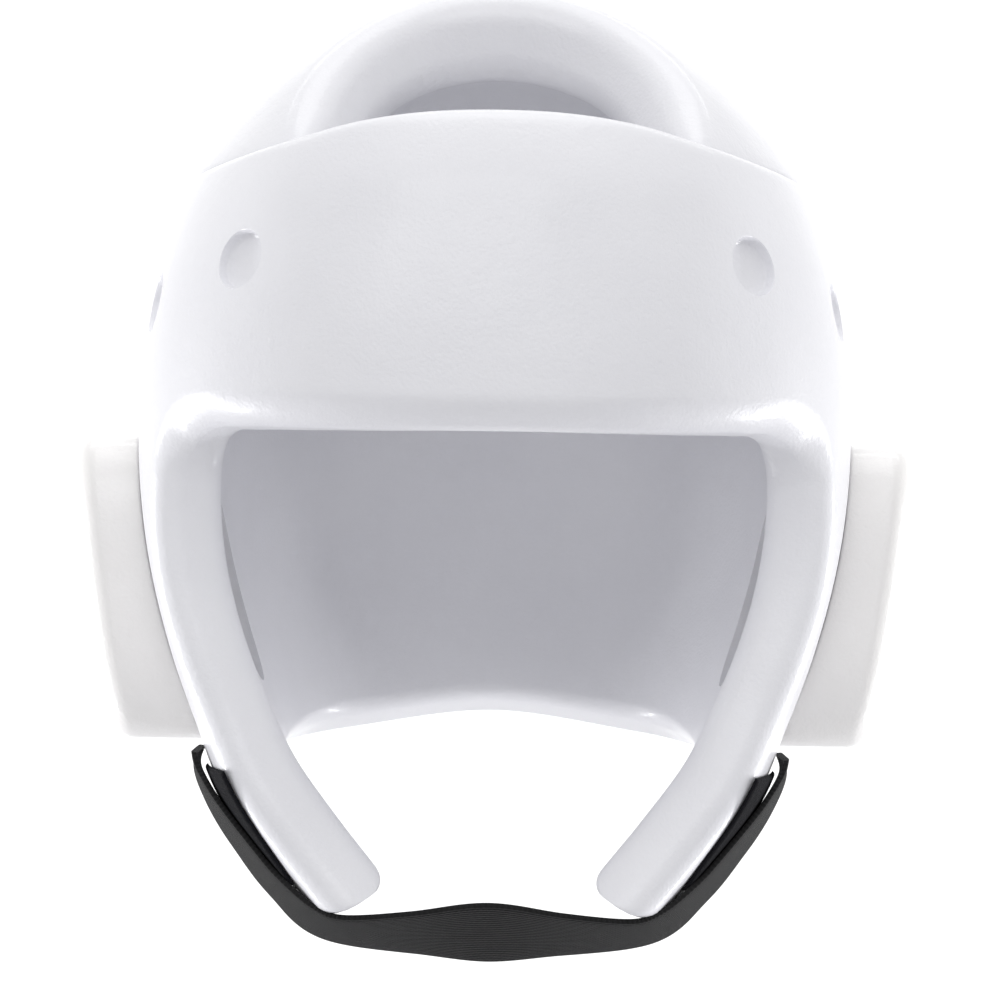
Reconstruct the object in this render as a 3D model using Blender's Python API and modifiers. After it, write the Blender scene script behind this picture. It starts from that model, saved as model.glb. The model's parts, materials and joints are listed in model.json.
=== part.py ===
"""A dipped-foam head guard for martial arts, in metres, +Z up, with the face towards -Y.

The origin is the inside of the crown, where a head carries the guard. The shell and the crown hood
are sheets of thick foam laid on one head form. Both sides are alike, so one half is worked out and
mirrored. The left half is the one at -X.
"""
from collections import namedtuple

import bpy
import numpy as np

# Driving sizes of the shell
HALF_WIDTH = 0.1088
FRONT_REACH = 0.120
BACK_REACH = 0.118
GUARD_DROP = 0.255
FOAM = 0.021
OPENING_ROUND = 0.009
INNER_ROUND = 0.007
HEM_ROUND = 0.005
BAR_END_ROUND = 0.0062
BAR_END_FROM = 44.0
BAR_END_TO = 60.0
RIM_ROUND = 0.006
RIM_ROUND_BY_HOOD = 0.0021
RIM_THINS_FROM = 45.0
RIM_THINS_TO = 85.0

# Driving sizes of the crown hood, whose foam is thickest at the top
CROWN_FOAM = 0.024
CROWN_FULLNESS = 0.8
ARCH_SETBACK = 0.026
ARCH_SQUARE = 4.0
ARCH_THICKER = 0.0045
ARCH_THICK_LENGTH = 0.035
ARCH_ROUND = 0.0105
FOOT_STEP = 0.007
SIDE_STEP = 0.0006
HOOD_FLUSH_ANGLE = 88.0
FOOT_ROUND = 0.0025
FOOT_BEND = 0.042
ARCH_ROUND_SHARE = 0.45

# Driving sizes of the ear cups
EAR_CENTRE_Y = 0.008
EAR_CENTRE_DROP = 0.6314 * GUARD_DROP
EAR_LENGTH = 0.072
EAR_HEIGHT = 0.094
EAR_STANDING = 0.0198
EAR_REACH = HALF_WIDTH + EAR_STANDING
EAR_TAPER = 0.0125
EAR_WALL = 0.009
EAR_ROUND = 0.006
EAR_SQUARE = 3.6
EAR_BULGE = 0.002
EAR_STEPS = 28
EAR_TURN = 3.0
CAVITY_LENGTH = 0.044
CAVITY_HEIGHT = 0.058
CAVITY_SQUARE = 2.4
BETWEEN_SQUARE = 3.0
SOUND_HOLE_WIDTH = 0.009
SOUND_HOLE_RING = 0.013
SOUND_HOLES_AROUND = 4
CAVITY_ROOF_SHARES = (0.30, 0.70, 0.96)
EAR_BENDS = (0, 30, 60, 90)

# Driving sizes of the dimples
DIMPLE_WIDTH = 0.0175
DIMPLE_DEPTH = 0.004

# Driving sizes of the chin strap and its patches
STRAP_WIDTH = 0.038
STRAP_THICKNESS = 0.0025
STRAP_BELOW = 0.0055
STRAP_INSIDE = 0.0168
STRAP_DROP = GUARD_DROP + STRAP_BELOW
STRAP_HALF_SPAN = HALF_WIDTH - STRAP_INSIDE
PATCH_THICKNESS = 0.0012
PATCH_FRONT_Y = -0.0750
PATCH_REAR_Y = -0.0400
PATCH_TOP_DROP = 0.835
PATCH_END_DROP = 0.963

# Clearances
SEAM_GAP = 0.0004
EAR_GAP = 0.0007
PATCH_GAP = 0.0004
STRAP_GAP = 0.0003
MERGE_DISTANCE = 0.00001

# Head form, from the rim down to the end of the cheek bars: shares of GUARD_DROP, HALF_WIDTH,
# FRONT_REACH and BACK_REACH, and the power that makes each section squarer than an ellipse
Section = namedtuple("Section", "drop width front back square")
HEAD_FORM = (
    Section(0.05, 0.730, 0.790, 0.700, 2.30),
    Section(0.10, 0.815, 0.862, 0.810, 2.30),
    Section(0.15, 0.872, 0.915, 0.875, 2.35),
    Section(0.23, 0.937, 0.958, 0.935, 2.40),
    Section(0.33, 0.985, 0.990, 0.980, 2.45),
    Section(0.43, 1.000, 1.000, 1.000, 2.50),
    Section(0.52, 0.988, 0.997, 0.990, 2.80),
    Section(0.61, 0.955, 0.988, 0.960, 3.10),
    Section(0.70, 0.898, 0.975, 0.910, 3.30),
    Section(0.79, 0.820, 0.958, 0.850, 3.30),
    Section(0.87, 0.748, 0.935, 0.800, 3.05),
    Section(0.94, 0.632, 0.917, 0.780, 3.00),
    Section(1.00, 0.520, 0.900, 0.770, 3.00),
    Section(1.04, 0.446, 0.890, 0.765, 3.00),
)

# Top rim of the shell, from the front round to the back: degrees and share of GUARD_DROP
Rim = namedtuple("Rim", "around drop")
TOP_RIM = (
    Rim(-24, 0.0850),
    Rim(0, 0.0728),
    Rim(24, 0.0850),
    Rim(36, 0.1050),
    Rim(60, 0.1290),
    Rim(90, 0.1435),
    Rim(135, 0.1500),
    Rim(180, 0.1500),
)

# Each long edge of the shell: share along the edge, degrees around, share of GUARD_DROP.
# The opening's edge runs along the brow, round the corner and down the cheek bar.
Edge = namedtuple("Edge", "share around drop")
OPENING_EDGE = (
    Edge(0.000, 0.0, 0.4445),
    Edge(0.120, 14.0, 0.4435),
    Edge(0.240, 28.0, 0.4400),
    Edge(0.330, 39.0, 0.4380),
    Edge(0.395, 47.0, 0.4410),
    Edge(0.435, 52.0, 0.4560),
    Edge(0.470, 54.6, 0.4820),
    Edge(0.520, 55.4, 0.5220),
    Edge(0.620, 54.9, 0.6000),
    Edge(0.720, 52.2, 0.6900),
    Edge(0.810, 47.6, 0.7850),
    Edge(0.890, 40.6, 0.8720),
    Edge(0.950, 33.8, 0.9380),
    Edge(1.000, 26.0, 0.9980),
)
HEM_EDGE = (
    Edge(0.00, 26.0, 0.998),
    Edge(0.09, 32.2, 1.007),
    Edge(0.20, 40.2, 1.001),
    Edge(0.33, 50.0, 0.968),
    Edge(0.46, 60.0, 0.920),
    Edge(0.59, 70.0, 0.884),
    Edge(0.76, 82.0, 0.870),
    Edge(1.00, 100.0, 0.868),
)

# Lower edge behind the ears, from there to the nape: degrees and share of GUARD_DROP
BACK_HEM = (
    Rim(100, 0.868),
    Rim(125, 0.852),
    Rim(152, 0.825),
    Rim(180, 0.800),
    Rim(208, 0.825),
)

# Grid lines of the front part that meet the top rim, from the middle to behind the ear: share along
# the far edge and degrees around. From there the far edge goes straight down to the hem.
RimLine = namedtuple("RimLine", "share around")
RIM_LINES = (
    RimLine(0.000, 0.0),
    RimLine(0.080, 9.5),
    RimLine(0.155, 19.0),
    RimLine(0.225, 28.0),
    RimLine(0.285, 37.0),
    RimLine(0.330, 46.0),
    RimLine(0.370, 57.0),
    RimLine(0.405, 69.0),
    RimLine(0.440, 81.0),
    RimLine(0.470, 91.0),
    RimLine(0.500, 100.0),
)
SIDE_LINES = (0.503, 0.511, 0.523, 0.560, 0.610, 0.660, 0.710, 0.760, 0.805, 0.850, 0.890)
ARCH_FOOT_LINE = 4

# Grid lines down the back part, in degrees around; the hood's back corner stands on one of them
BACK_LINES = (100.0, 110.0, 120.0, 130.0, 138.0, 148.0, 158.0, 169.0, 180.0)
HOOD_CORNER_LINE = 4

# Lines of the front part's grid: a share of the way across and an added length in metres, so that
# the lines beside an edge keep their distance from it
Line = namedtuple("Line", "share offset")
LINES_ACROSS = (
    Line(0.0, 0.0),
    Line(0.0, 0.0012),
    Line(0.0, 0.0042),
    Line(0.0, 0.0095),
    Line(0.12, 0.0080),
    Line(0.24, 0.0060),
    Line(0.37, 0.0040),
    Line(0.50, 0.0),
    Line(0.63, -0.0020),
    Line(0.76, -0.0040),
    Line(0.88, -0.0060),
    Line(1.0, -0.0070),
    Line(1.0, -0.0028),
    Line(1.0, -0.0008),
    Line(1.0, 0.0),
)
LINES_ALONG = (
    tuple(Line(row.share, 0.0) for row in RIM_LINES)
    + tuple(Line(share, 0.0) for share in SIDE_LINES)
    + tuple(Line(1.0, offset) for offset in (-0.0062, -0.0040, -0.0020, -0.0007, 0.0))
)

# Lines of the hood's grid beside those that meet the shell's: shares from the middle to the seam,
# and shares from the arch and from the back corner
HOOD_LINES_ACROSS = (0.0, 0.13, 0.26, 0.39, 0.52, 0.64, 0.76, 0.84, 0.90, 0.95, 0.98, 0.994, 1.0)
HOOD_LINES_NEAR = (0.008, 0.030, 0.970, 0.990)

# Dimples on each half, from the forehead to the back: degrees around and share of GUARD_DROP
Dimple = namedtuple("Dimple", "around drop")
DIMPLES = (
    Dimple(39.5, 0.252),
    Dimple(68, 0.294),
    Dimple(112, 0.297),
    Dimple(150, 0.297),
)

# Chin strap on one half, from under the ear cup to the middle: shares of STRAP_HALF_SPAN and
# STRAP_DROP, the middle of the webbing in y, and its lean in degrees, the rear edge outwards
Stretch = namedtuple("Stretch", "span drop middle_y lean")
Keyed = namedtuple("Keyed", ("share",) + Stretch._fields)
CHIN_STRAP = (
    Stretch(0.949, 0.8025, -0.034, 0),
    Stretch(0.956, 0.8260, -0.036, 6),
    Stretch(0.906, 0.8590, -0.041, 9),
    Stretch(0.858, 0.8870, -0.046, 10),
    Stretch(0.802, 0.9130, -0.050, 10),
    Stretch(0.750, 0.9380, -0.054, 10),
    Stretch(0.696, 0.9620, -0.057, 10),
    Stretch(0.616, 0.9930, -0.061, 8),
    Stretch(0.470, 1.0160, -0.064, 7),
    Stretch(0.240, 1.0100, -0.066, 21),
    Stretch(0.000, 1.0010, -0.067, 31),
)
STRAP_STEPS = 20
STRAP_SEAT_SHARE = 0.12


def follow(rows, key, value, at):
    """Smooth curve through a table's rows: cubic pieces whose slopes come from their neighbours."""
    keys = np.array([getattr(row, key) for row in rows], dtype=float)
    values = np.array([getattr(row, value) for row in rows], dtype=float)
    slopes = np.gradient(values, keys)
    at = np.clip(np.asarray(at, dtype=float), keys[0], keys[-1])
    piece = np.clip(np.searchsorted(keys, at, side="right") - 1, 0, len(keys) - 2)
    width = keys[piece + 1] - keys[piece]
    t = (at - keys[piece]) / width
    start = values[piece] * (1 + 2 * t) * (1 - t) ** 2 + width * slopes[piece] * t * (1 - t) ** 2
    end = values[piece + 1] * t**2 * (3 - 2 * t) + width * slopes[piece + 1] * t**2 * (t - 1)
    return start + end


def smooth_step(low, high, at):
    """0 below low, 1 above high and an even slope between them."""
    t = np.clip((at - low) / (high - low), 0.0, 1.0)
    return t * t * (3 - 2 * t)


def section_at(drop, forward):
    """Half width, reach and squareness of the head form at a drop, in front of or behind the ears."""
    width = HALF_WIDTH * follow(HEAD_FORM, "drop", "width", drop)
    front = FRONT_REACH * follow(HEAD_FORM, "drop", "front", drop)
    back = BACK_REACH * follow(HEAD_FORM, "drop", "back", drop)
    square = follow(HEAD_FORM, "drop", "square", drop)
    return width, np.where(forward, front, back), square


def form_point(around, drop):
    """Point of the head form at some degrees around from the front and a share of GUARD_DROP."""
    angle = np.radians(around)
    width, reach, square = section_at(drop, np.cos(angle) >= 0)
    radius = (
        np.abs(np.sin(angle) / width) ** square + np.abs(np.cos(angle) / reach) ** square
    ) ** (-1 / square)
    return np.stack(
        [radius * np.sin(angle), -radius * np.cos(angle), -GUARD_DROP * drop + 0 * angle], axis=-1
    )


def form_normal(around, drop):
    """Outward direction of the head form, from two short steps along it."""
    along = form_point(around + 0.5, drop) - form_point(around - 0.5, drop)
    down = form_point(around, drop + 0.002) - form_point(around, drop - 0.002)
    return unit(np.cross(down, along))


def form_half_width(y, z):
    """Half width of the head form at a place seen from the side."""
    width, reach, square = section_at(-z / GUARD_DROP, y < 0)
    return width * (1 - np.abs(y / reach) ** square) ** (1 / square)


def unit(vectors):
    """Vectors of length one."""
    return vectors / np.linalg.norm(vectors, axis=-1, keepdims=True)


def patch(near, far, left, right, u, v):
    """Coons patch: blends two pairs of facing edges, each a function of its share along."""
    u = u[..., None]
    v = v[..., None]
    across = (1 - v) * near(u[..., 0]) + v * far(u[..., 0])
    beside = (1 - u) * left(v[..., 0]) + u * right(v[..., 0])
    zero = np.zeros(1)
    one = np.ones(1)
    corners = (
        (1 - u) * (1 - v) * near(zero)
        + u * (1 - v) * near(one)
        + (1 - u) * v * far(zero)
        + u * v * far(one)
    )
    return across + beside - corners


def rounding(distance, radius):
    """Depth of a round edge under its flat face, at a distance in from the edge."""
    inward = np.clip(radius - distance, 0.0, radius)
    return radius - np.sqrt(radius**2 - inward**2)


def joined(*depths):
    """One depth from the round edges that meet at a corner."""
    return sum(depth**3 for depth in depths) ** (1 / 3)


def run_lengths(points, axis):
    """Length along each grid line from its first point."""
    steps = np.linalg.norm(np.diff(points, axis=axis), axis=-1)
    start = np.zeros_like(np.take(steps, [0], axis=axis))
    return np.concatenate([start, np.cumsum(steps, axis=axis)], axis=axis)


def opening_edge(share):
    """Edge of the face opening on the head form, in degrees around and drop."""
    around = follow(OPENING_EDGE, "share", "around", share)
    return np.stack([around, follow(OPENING_EDGE, "share", "drop", share)], axis=-1)


def hem_edge(share):
    """Lower edge of the shell, from the end of the cheek bar to the nape."""
    around = follow(HEM_EDGE, "share", "around", share)
    return np.stack([around, follow(HEM_EDGE, "share", "drop", share)], axis=-1)


def rim_drop(around):
    """Drop of the shell's top rim."""
    return follow(TOP_RIM, "around", "drop", around)


def hem_drop(around):
    """Drop of the lower edge behind the ears."""
    return follow(BACK_HEM, "around", "drop", around)


def far_edge(share):
    """Top rim to behind the ear, then straight down to the hem."""
    around = np.interp(share, [row.share for row in RIM_LINES], [row.around for row in RIM_LINES])
    down = np.clip((share - RIM_LINES[-1].share) / (1 - RIM_LINES[-1].share), 0.0, 1.0)
    top = rim_drop(around)
    return np.stack([around, top + (HEM_EDGE[-1].drop - top) * down], axis=-1)


def front_line(share):
    """Middle of the forehead, from the brow up to the rim."""
    drop = OPENING_EDGE[0].drop + (rim_drop(0.0) - OPENING_EDGE[0].drop) * share
    return np.stack([0 * share, drop], axis=-1)


def line_lengths(start, end):
    """Rough length on the foam between two places given in degrees around and drop."""
    turn = np.radians(end[..., 0] - start[..., 0]) * HALF_WIDTH
    fall = (end[..., 1] - start[..., 1]) * GUARD_DROP
    return np.hypot(turn, fall)


def front_places():
    """Grid of places on the front part of the shell: rows across, columns along."""
    along = np.array([line.share for line in LINES_ALONG])
    across = np.array([line.share for line in LINES_ACROSS])
    across_length = line_lengths(opening_edge(along), far_edge(along))
    along_length = line_lengths(front_line(across), hem_edge(across))
    u = along[None, :] + np.array([line.offset for line in LINES_ALONG]) / along_length[:, None]
    v = across[:, None] + np.array([[line.offset] for line in LINES_ACROSS]) / across_length[None, :]
    return patch(opening_edge, far_edge, front_line, hem_edge, u, v)


def back_places(front):
    """Grid of places on the back part, whose columns carry on from the front part's."""
    edge = front[-1, len(RIM_LINES) - 1 :, 1]
    share = (edge - edge[0]) / (edge[-1] - edge[0])
    share, around = np.meshgrid(share, np.array(BACK_LINES))
    drop = rim_drop(around) + (hem_drop(around) - rim_drop(around)) * share
    return np.stack([around, drop], axis=-1)


def rim_round(around):
    """Radius of the top rim, full over the forehead and small beside the hood."""
    beside_hood = smooth_step(RIM_THINS_FROM, RIM_THINS_TO, around)
    return RIM_ROUND + (RIM_ROUND_BY_HOOD - RIM_ROUND) * beside_hood


def foam_faces(places, from_opening, from_hem):
    """Outer and inner grids of the shell over some places, with their round edges."""
    around = places[..., 0]
    drop = places[..., 1]
    surface = form_point(around, drop)
    normal = form_normal(around, drop)
    from_rim = (drop - rim_drop(around)) * GUARD_DROP
    hem_round = BAR_END_ROUND + (HEM_ROUND - BAR_END_ROUND) * smooth_step(BAR_END_FROM, BAR_END_TO, around)
    shared = (rounding(from_hem, hem_round), rounding(from_rim, rim_round(around)))
    outer_depth = joined(rounding(from_opening, OPENING_ROUND), *shared)
    inner_depth = joined(rounding(from_opening, INNER_ROUND), *shared)
    outer = surface - normal * outer_depth[..., None]
    inner = surface - normal * (FOAM - inner_depth)[..., None]
    return outer, inner


def shell_faces():
    """Outer and inner grids of the shell's front part and back part."""
    front = front_places()
    surface = form_point(front[..., 0], front[..., 1])
    from_opening = run_lengths(surface, axis=0)
    from_hem = run_lengths(surface[:, ::-1], axis=1)[:, ::-1]
    back = back_places(front)
    back_surface = form_point(back[..., 0], back[..., 1])
    back_from_hem = run_lengths(back_surface[:, ::-1], axis=1)[:, ::-1]
    far = np.full_like(back_from_hem, HALF_WIDTH)
    return [foam_faces(front, from_opening, from_hem), foam_faces(back, far, back_from_hem)]


def on_middle(points):
    """Points that lie on the middle plane to within a rounding error, set exactly on it."""
    points = points.copy()
    points[np.abs(points[..., 0]) < MERGE_DISTANCE, 0] = 0.0
    return points


def grid_quads(rows, columns, first):
    """Corners of each cell of a grid whose points are numbered from a first one."""
    index = first + np.arange(rows * columns).reshape(rows, columns)
    corners = (index[:-1, :-1], index[:-1, 1:], index[1:, 1:], index[1:, :-1])
    return np.stack(corners, axis=-1).reshape(-1, 4)


def lone_edges(quads):
    """Edges that only one quad has, each in that quad's direction."""
    edges = np.concatenate([quads[:, (corner, (corner + 1) % 4)] for corner in range(4)])
    _, place, count = np.unique(np.sort(edges, axis=1), axis=0, return_index=True, return_counts=True)
    return edges[place[count == 1]]


def sheet_mesh(name, sheets):
    """Closed sheet between pairs of grids that share edges, left open on the middle plane."""
    outer = on_middle(np.concatenate([grid.reshape(-1, 3) for grid, _ in sheets]))
    inner = on_middle(np.concatenate([grid.reshape(-1, 3) for _, grid in sheets]))
    starts = np.cumsum([0] + [grid.shape[0] * grid.shape[1] for grid, _ in sheets])
    quads = np.concatenate([
        grid_quads(grid.shape[0], grid.shape[1], start) for (grid, _), start in zip(sheets, starts)
    ])
    _, kept, twin = np.unique(
        np.round(outer / MERGE_DISTANCE), axis=0, return_index=True, return_inverse=True
    )
    outer = outer[kept]
    inner = inner[kept]
    quads = twin.reshape(-1)[quads]
    rim = lone_edges(quads)
    rim = rim[~np.all(outer[rim, 0] == 0.0, axis=1)]
    count = len(outer)
    walls = np.stack([rim[:, 1], rim[:, 0], rim[:, 0] + count, rim[:, 1] + count], axis=-1)
    faces = np.concatenate([quads, quads[:, ::-1] + count, walls])
    mesh = bpy.data.meshes.new(name)
    mesh.from_pydata(np.concatenate([outer, inner]).tolist(), [], faces.tolist())
    return mesh


def ring_mesh(name, rings):
    """Closed solid through rings of points, with a flat face over each end."""
    count = rings.shape[1]
    index = np.arange(rings.shape[0] * count).reshape(-1, count)
    quads = [
        (index[r, c], index[r, (c + 1) % count], index[r + 1, (c + 1) % count], index[r + 1, c])
        for r in range(rings.shape[0] - 1)
        for c in range(count)
    ]
    quads.append(tuple(reversed(index[0])))
    quads.append(tuple(index[-1]))
    mesh = bpy.data.meshes.new(name)
    points = rings.reshape(-1, 3).tolist()
    mesh.from_pydata(points, [], [[int(corner) for corner in quad] for quad in quads])
    return mesh


def material(name, colour, roughness):
    """Principled material of one plain finish."""
    finish = bpy.data.materials.new(name)
    finish.use_nodes = True
    shader = finish.node_tree.nodes["Principled BSDF"]
    shader.inputs["Base Color"].default_value = (*colour, 1.0)
    shader.inputs["Roughness"].default_value = roughness
    shader.inputs["Metallic"].default_value = 0.0
    finish.diffuse_color = (*colour, 1.0)
    return finish


def white_foam():
    """White dipped foam."""
    return material("white_dipped_foam", (0.80, 0.80, 0.84), 0.3)


def black_webbing():
    """Black woven strap."""
    return material("black_webbing", (0.02, 0.02, 0.022), 0.8)


def black_tape():
    """Black loop tape."""
    return material("black_loop_tape", (0.008, 0.008, 0.012), 0.95)


def add_object(name, mesh, collection, parent, finish):
    """Object of one piece, shaded smooth, in its collection and under its parent."""
    mesh.materials.append(finish)
    mesh.shade_smooth()
    mesh.set_sharp_from_angle(angle=np.radians(40))
    piece = bpy.data.objects.new(name, mesh)
    collection.objects.link(piece)
    piece.parent = parent
    return piece


def add_mirror(piece):
    """The other half of a symmetric piece."""
    mirror = piece.modifiers.new("other half", "MIRROR")
    mirror.merge_threshold = MERGE_DISTANCE


def add_cuts(piece, cutters):
    """Cuts a collection of closed solids out of a piece."""
    cut = piece.modifiers.new("cuts", "BOOLEAN")
    cut.operation = "DIFFERENCE"
    cut.operand_type = "COLLECTION"
    cut.collection = cutters
    cut.solver = "EXACT"


def add_cutter(name, mesh, collection):
    """Solid that is only cut away."""
    cutter = bpy.data.objects.new(name, mesh)
    cutter.hide_render = True
    cutter.display_type = "WIRE"
    collection.objects.link(cutter)
    return cutter


def turned_rings(centre, axis, profile, sides):
    """Rings of a turned solid: profile rows are a radius and a distance along the axis."""
    axis = unit(np.asarray(axis, dtype=float))
    across = unit(np.cross(axis, (0.0, 0.0, 1.0)))
    upward = np.cross(across, axis)
    turn = np.linspace(0, 2 * np.pi, sides, endpoint=False)
    spoke = np.cos(turn)[:, None] * across + np.sin(turn)[:, None] * upward
    return np.array([centre + radius * spoke - distance * axis for radius, distance in profile])


def dimple_cutters(collection):
    """Round recesses in rows around the head, on both sides."""
    radius = DIMPLE_WIDTH / 2
    profile = (
        (radius * 1.15, -DIMPLE_DEPTH),
        (radius * 1.10, 0.0),
        (radius * 0.97, 0.25 * DIMPLE_DEPTH),
        (radius * 0.88, 0.75 * DIMPLE_DEPTH),
        (radius * 0.60, DIMPLE_DEPTH),
    )
    for row, dimple in enumerate(DIMPLES):
        centre = form_point(np.array(float(dimple.around)), np.array(dimple.drop))
        axis = form_normal(np.array(float(dimple.around)), np.array(dimple.drop))
        for side in (-1, 1):
            flip = np.array([side, 1.0, 1.0])
            rings = turned_rings(centre * flip, axis * flip, profile, 12)
            add_cutter(f"dimple_{row}_{side}", ring_mesh("dimple", rings), collection)


def oval(length, height, square, turn):
    """Outline in y and z, squarer than an ellipse, as offsets from its centre."""
    y = np.sign(np.cos(turn)) * np.abs(np.cos(turn)) ** (2 / square) * length / 2
    z = np.sign(np.sin(turn)) * np.abs(np.sin(turn)) ** (2 / square) * height / 2
    return y, z


def ear_hole_cutters(collection):
    """Oval hole through the shell behind each ear cup."""
    turn = np.linspace(0, 2 * np.pi, 20, endpoint=False)
    y, z = oval(CAVITY_LENGTH, CAVITY_HEIGHT, CAVITY_SQUARE, turn)
    for side in (-1, 1):
        rings = np.array([
            np.stack([side * x + 0 * y, y + EAR_CENTRE_Y, z - EAR_CENTRE_DROP], axis=-1)
            for x in (HALF_WIDTH - 2.5 * FOAM, HALF_WIDTH + FOAM)
        ])
        if side > 0:
            rings = rings[:, ::-1]
        add_cutter(f"ear_hole_{side}", ring_mesh("ear_hole", rings[:, ::-1]), collection)


def shell(collection, cutters, parent):
    """Forehead band, sides, back and cheek bars in one piece of foam."""
    mesh = sheet_mesh("shell", shell_faces())
    piece = add_object("shell", mesh, collection, parent, white_foam())
    add_mirror(piece)
    add_cuts(piece, cutters)
    return piece


def foot_step(around):
    """How far the hood's foot stands back from the shell's outer face: most beside the forehead."""
    beside = smooth_step(hood_turns()[0], HOOD_FLUSH_ANGLE, around)
    return FOOT_STEP * (1 - beside) + SIDE_STEP * beside


def hood_seam(around):
    """Outer line of the hood's foot on the shell's rim, a gap above it."""
    place = form_point(around, rim_drop(around))
    inward = form_normal(around, rim_drop(around)) * foot_step(around)[..., None]
    return place - inward + np.array([0.0, 0.0, SEAM_GAP])


def dome_height(x, y):
    """Outer height of the crown over a place in plan."""
    around = np.degrees(np.arctan2(np.abs(x), -y))
    seam = hood_seam(around)
    share = np.clip(np.hypot(x, y) / np.hypot(seam[..., 0], seam[..., 1]), 0.0, 1.0)
    return seam[..., 2] + (CROWN_FOAM - seam[..., 2]) * (1 - share**2) ** CROWN_FULLNESS


def arch_edge(share):
    """Free front edge of the hood in plan, from its middle to its foot."""
    foot = hood_seam(hood_turns()[:1])[0]
    x = foot[0] * share
    y = -ARCH_SETBACK + (foot[1] + ARCH_SETBACK) * share**ARCH_SQUARE
    return np.stack([x, y], axis=-1)


def back_edge(share):
    """Seam at the back in plan, from the middle to the corner of the hood's grid."""
    return hood_seam(180.0 + (hood_turns()[-1] - 180.0) * share)[..., :2]


def middle_edge(share):
    """Middle line of the hood in plan, from the arch to the back."""
    back = hood_seam(np.array([180.0]))[0, 1]
    return np.stack([0 * share, -ARCH_SETBACK + (back + ARCH_SETBACK) * share], axis=-1)


def side_edge(share):
    """Seam at the side in plan, from the foot of the arch to the back corner."""
    turns = hood_turns()
    return hood_seam(turns[0] + (turns[-1] - turns[0]) * share)[..., :2]


def hood_faces(shares_across, shares_back):
    """Outer and inner grids of the hood."""
    u, v = np.meshgrid(shares_across, shares_back)
    plan = patch(arch_edge, back_edge, middle_edge, side_edge, u, v)
    x = plan[..., 0]
    y = plan[..., 1]
    step = 0.0005
    slope_x = (dome_height(x + step, y) - dome_height(x - step, y)) / (2 * step)
    slope_y = (dome_height(x, y + step) - dome_height(x, y - step)) / (2 * step)
    dome_normal = unit(np.stack([-slope_x, -slope_y, np.ones_like(x)], axis=-1))
    surface = np.stack([x, y, dome_height(x, y)], axis=-1)
    around = np.degrees(np.arctan2(x, -y))
    seam = hood_seam(around)
    rise = surface[..., 2] - seam[..., 2]
    from_seam = np.hypot(seam[..., 0] - x, seam[..., 1] - y) + rise
    free = smooth_step(0.0, FOOT_BEND, from_seam)[..., None]
    direction = unit(free * dome_normal + (1 - free) * form_normal(around, rim_drop(around)))
    foam = free[..., 0] * CROWN_FOAM + (1 - free[..., 0]) * (FOAM - foot_step(around))
    from_arch = run_lengths(surface, axis=0)
    foam = foam + ARCH_THICKER * free[..., 0] * (1 - smooth_step(0.0, ARCH_THICK_LENGTH, from_arch))
    arch_depth = rounding(from_arch, np.minimum(ARCH_ROUND, ARCH_ROUND_SHARE * foam))
    foot_depth = rounding(from_seam, FOOT_ROUND)
    depth = joined(arch_depth, foot_depth)
    outer = surface - direction * depth[..., None]
    inner = surface - direction * (foam - depth)[..., None]
    return outer, inner


def hood_turns():
    """Degrees around of the shell's lines that meet the hood's side, from the arch to the corner."""
    front = [row.around for row in RIM_LINES[ARCH_FOOT_LINE:]]
    return np.array(front + list(BACK_LINES[1 : HOOD_CORNER_LINE + 1]))


def hood_lines_back():
    """Shares from the arch to the back corner, at the shell's lines and beside both ends."""
    turns = hood_turns()
    return np.sort(np.append((turns - turns[0]) / (turns[-1] - turns[0]), HOOD_LINES_NEAR))


def crown_hood(collection, parent):
    """Arch of foam over the crown, seated on the shell's rim."""
    outer, inner = hood_faces(np.array(HOOD_LINES_ACROSS), hood_lines_back())
    mesh = sheet_mesh("crown_hood", [(outer, inner)])
    piece = add_object("crown_hood", mesh, collection, parent, white_foam())
    add_mirror(piece)
    return piece


def ear_face(y, z):
    """Half width of an ear cup's outer face: it tapers downwards and falls off at its ends."""
    down = np.clip((EAR_HEIGHT / 2 - (z + EAR_CENTRE_DROP)) / EAR_HEIGHT, 0.0, 1.0)
    bulge = EAR_BULGE * (2 * (y - EAR_CENTRE_Y) / EAR_LENGTH) ** 2
    return EAR_REACH - EAR_TAPER * down**1.5 - bulge


def ear_ring(length, height, square, turn, half_width):
    """Ring of an ear cup whose half width is a function of its place seen from the side."""
    y, z = oval(length, height, square, turn)
    y = y + EAR_CENTRE_Y
    z = z - EAR_CENTRE_DROP
    return np.stack([half_width(y, z), y, z], axis=-1)


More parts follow.
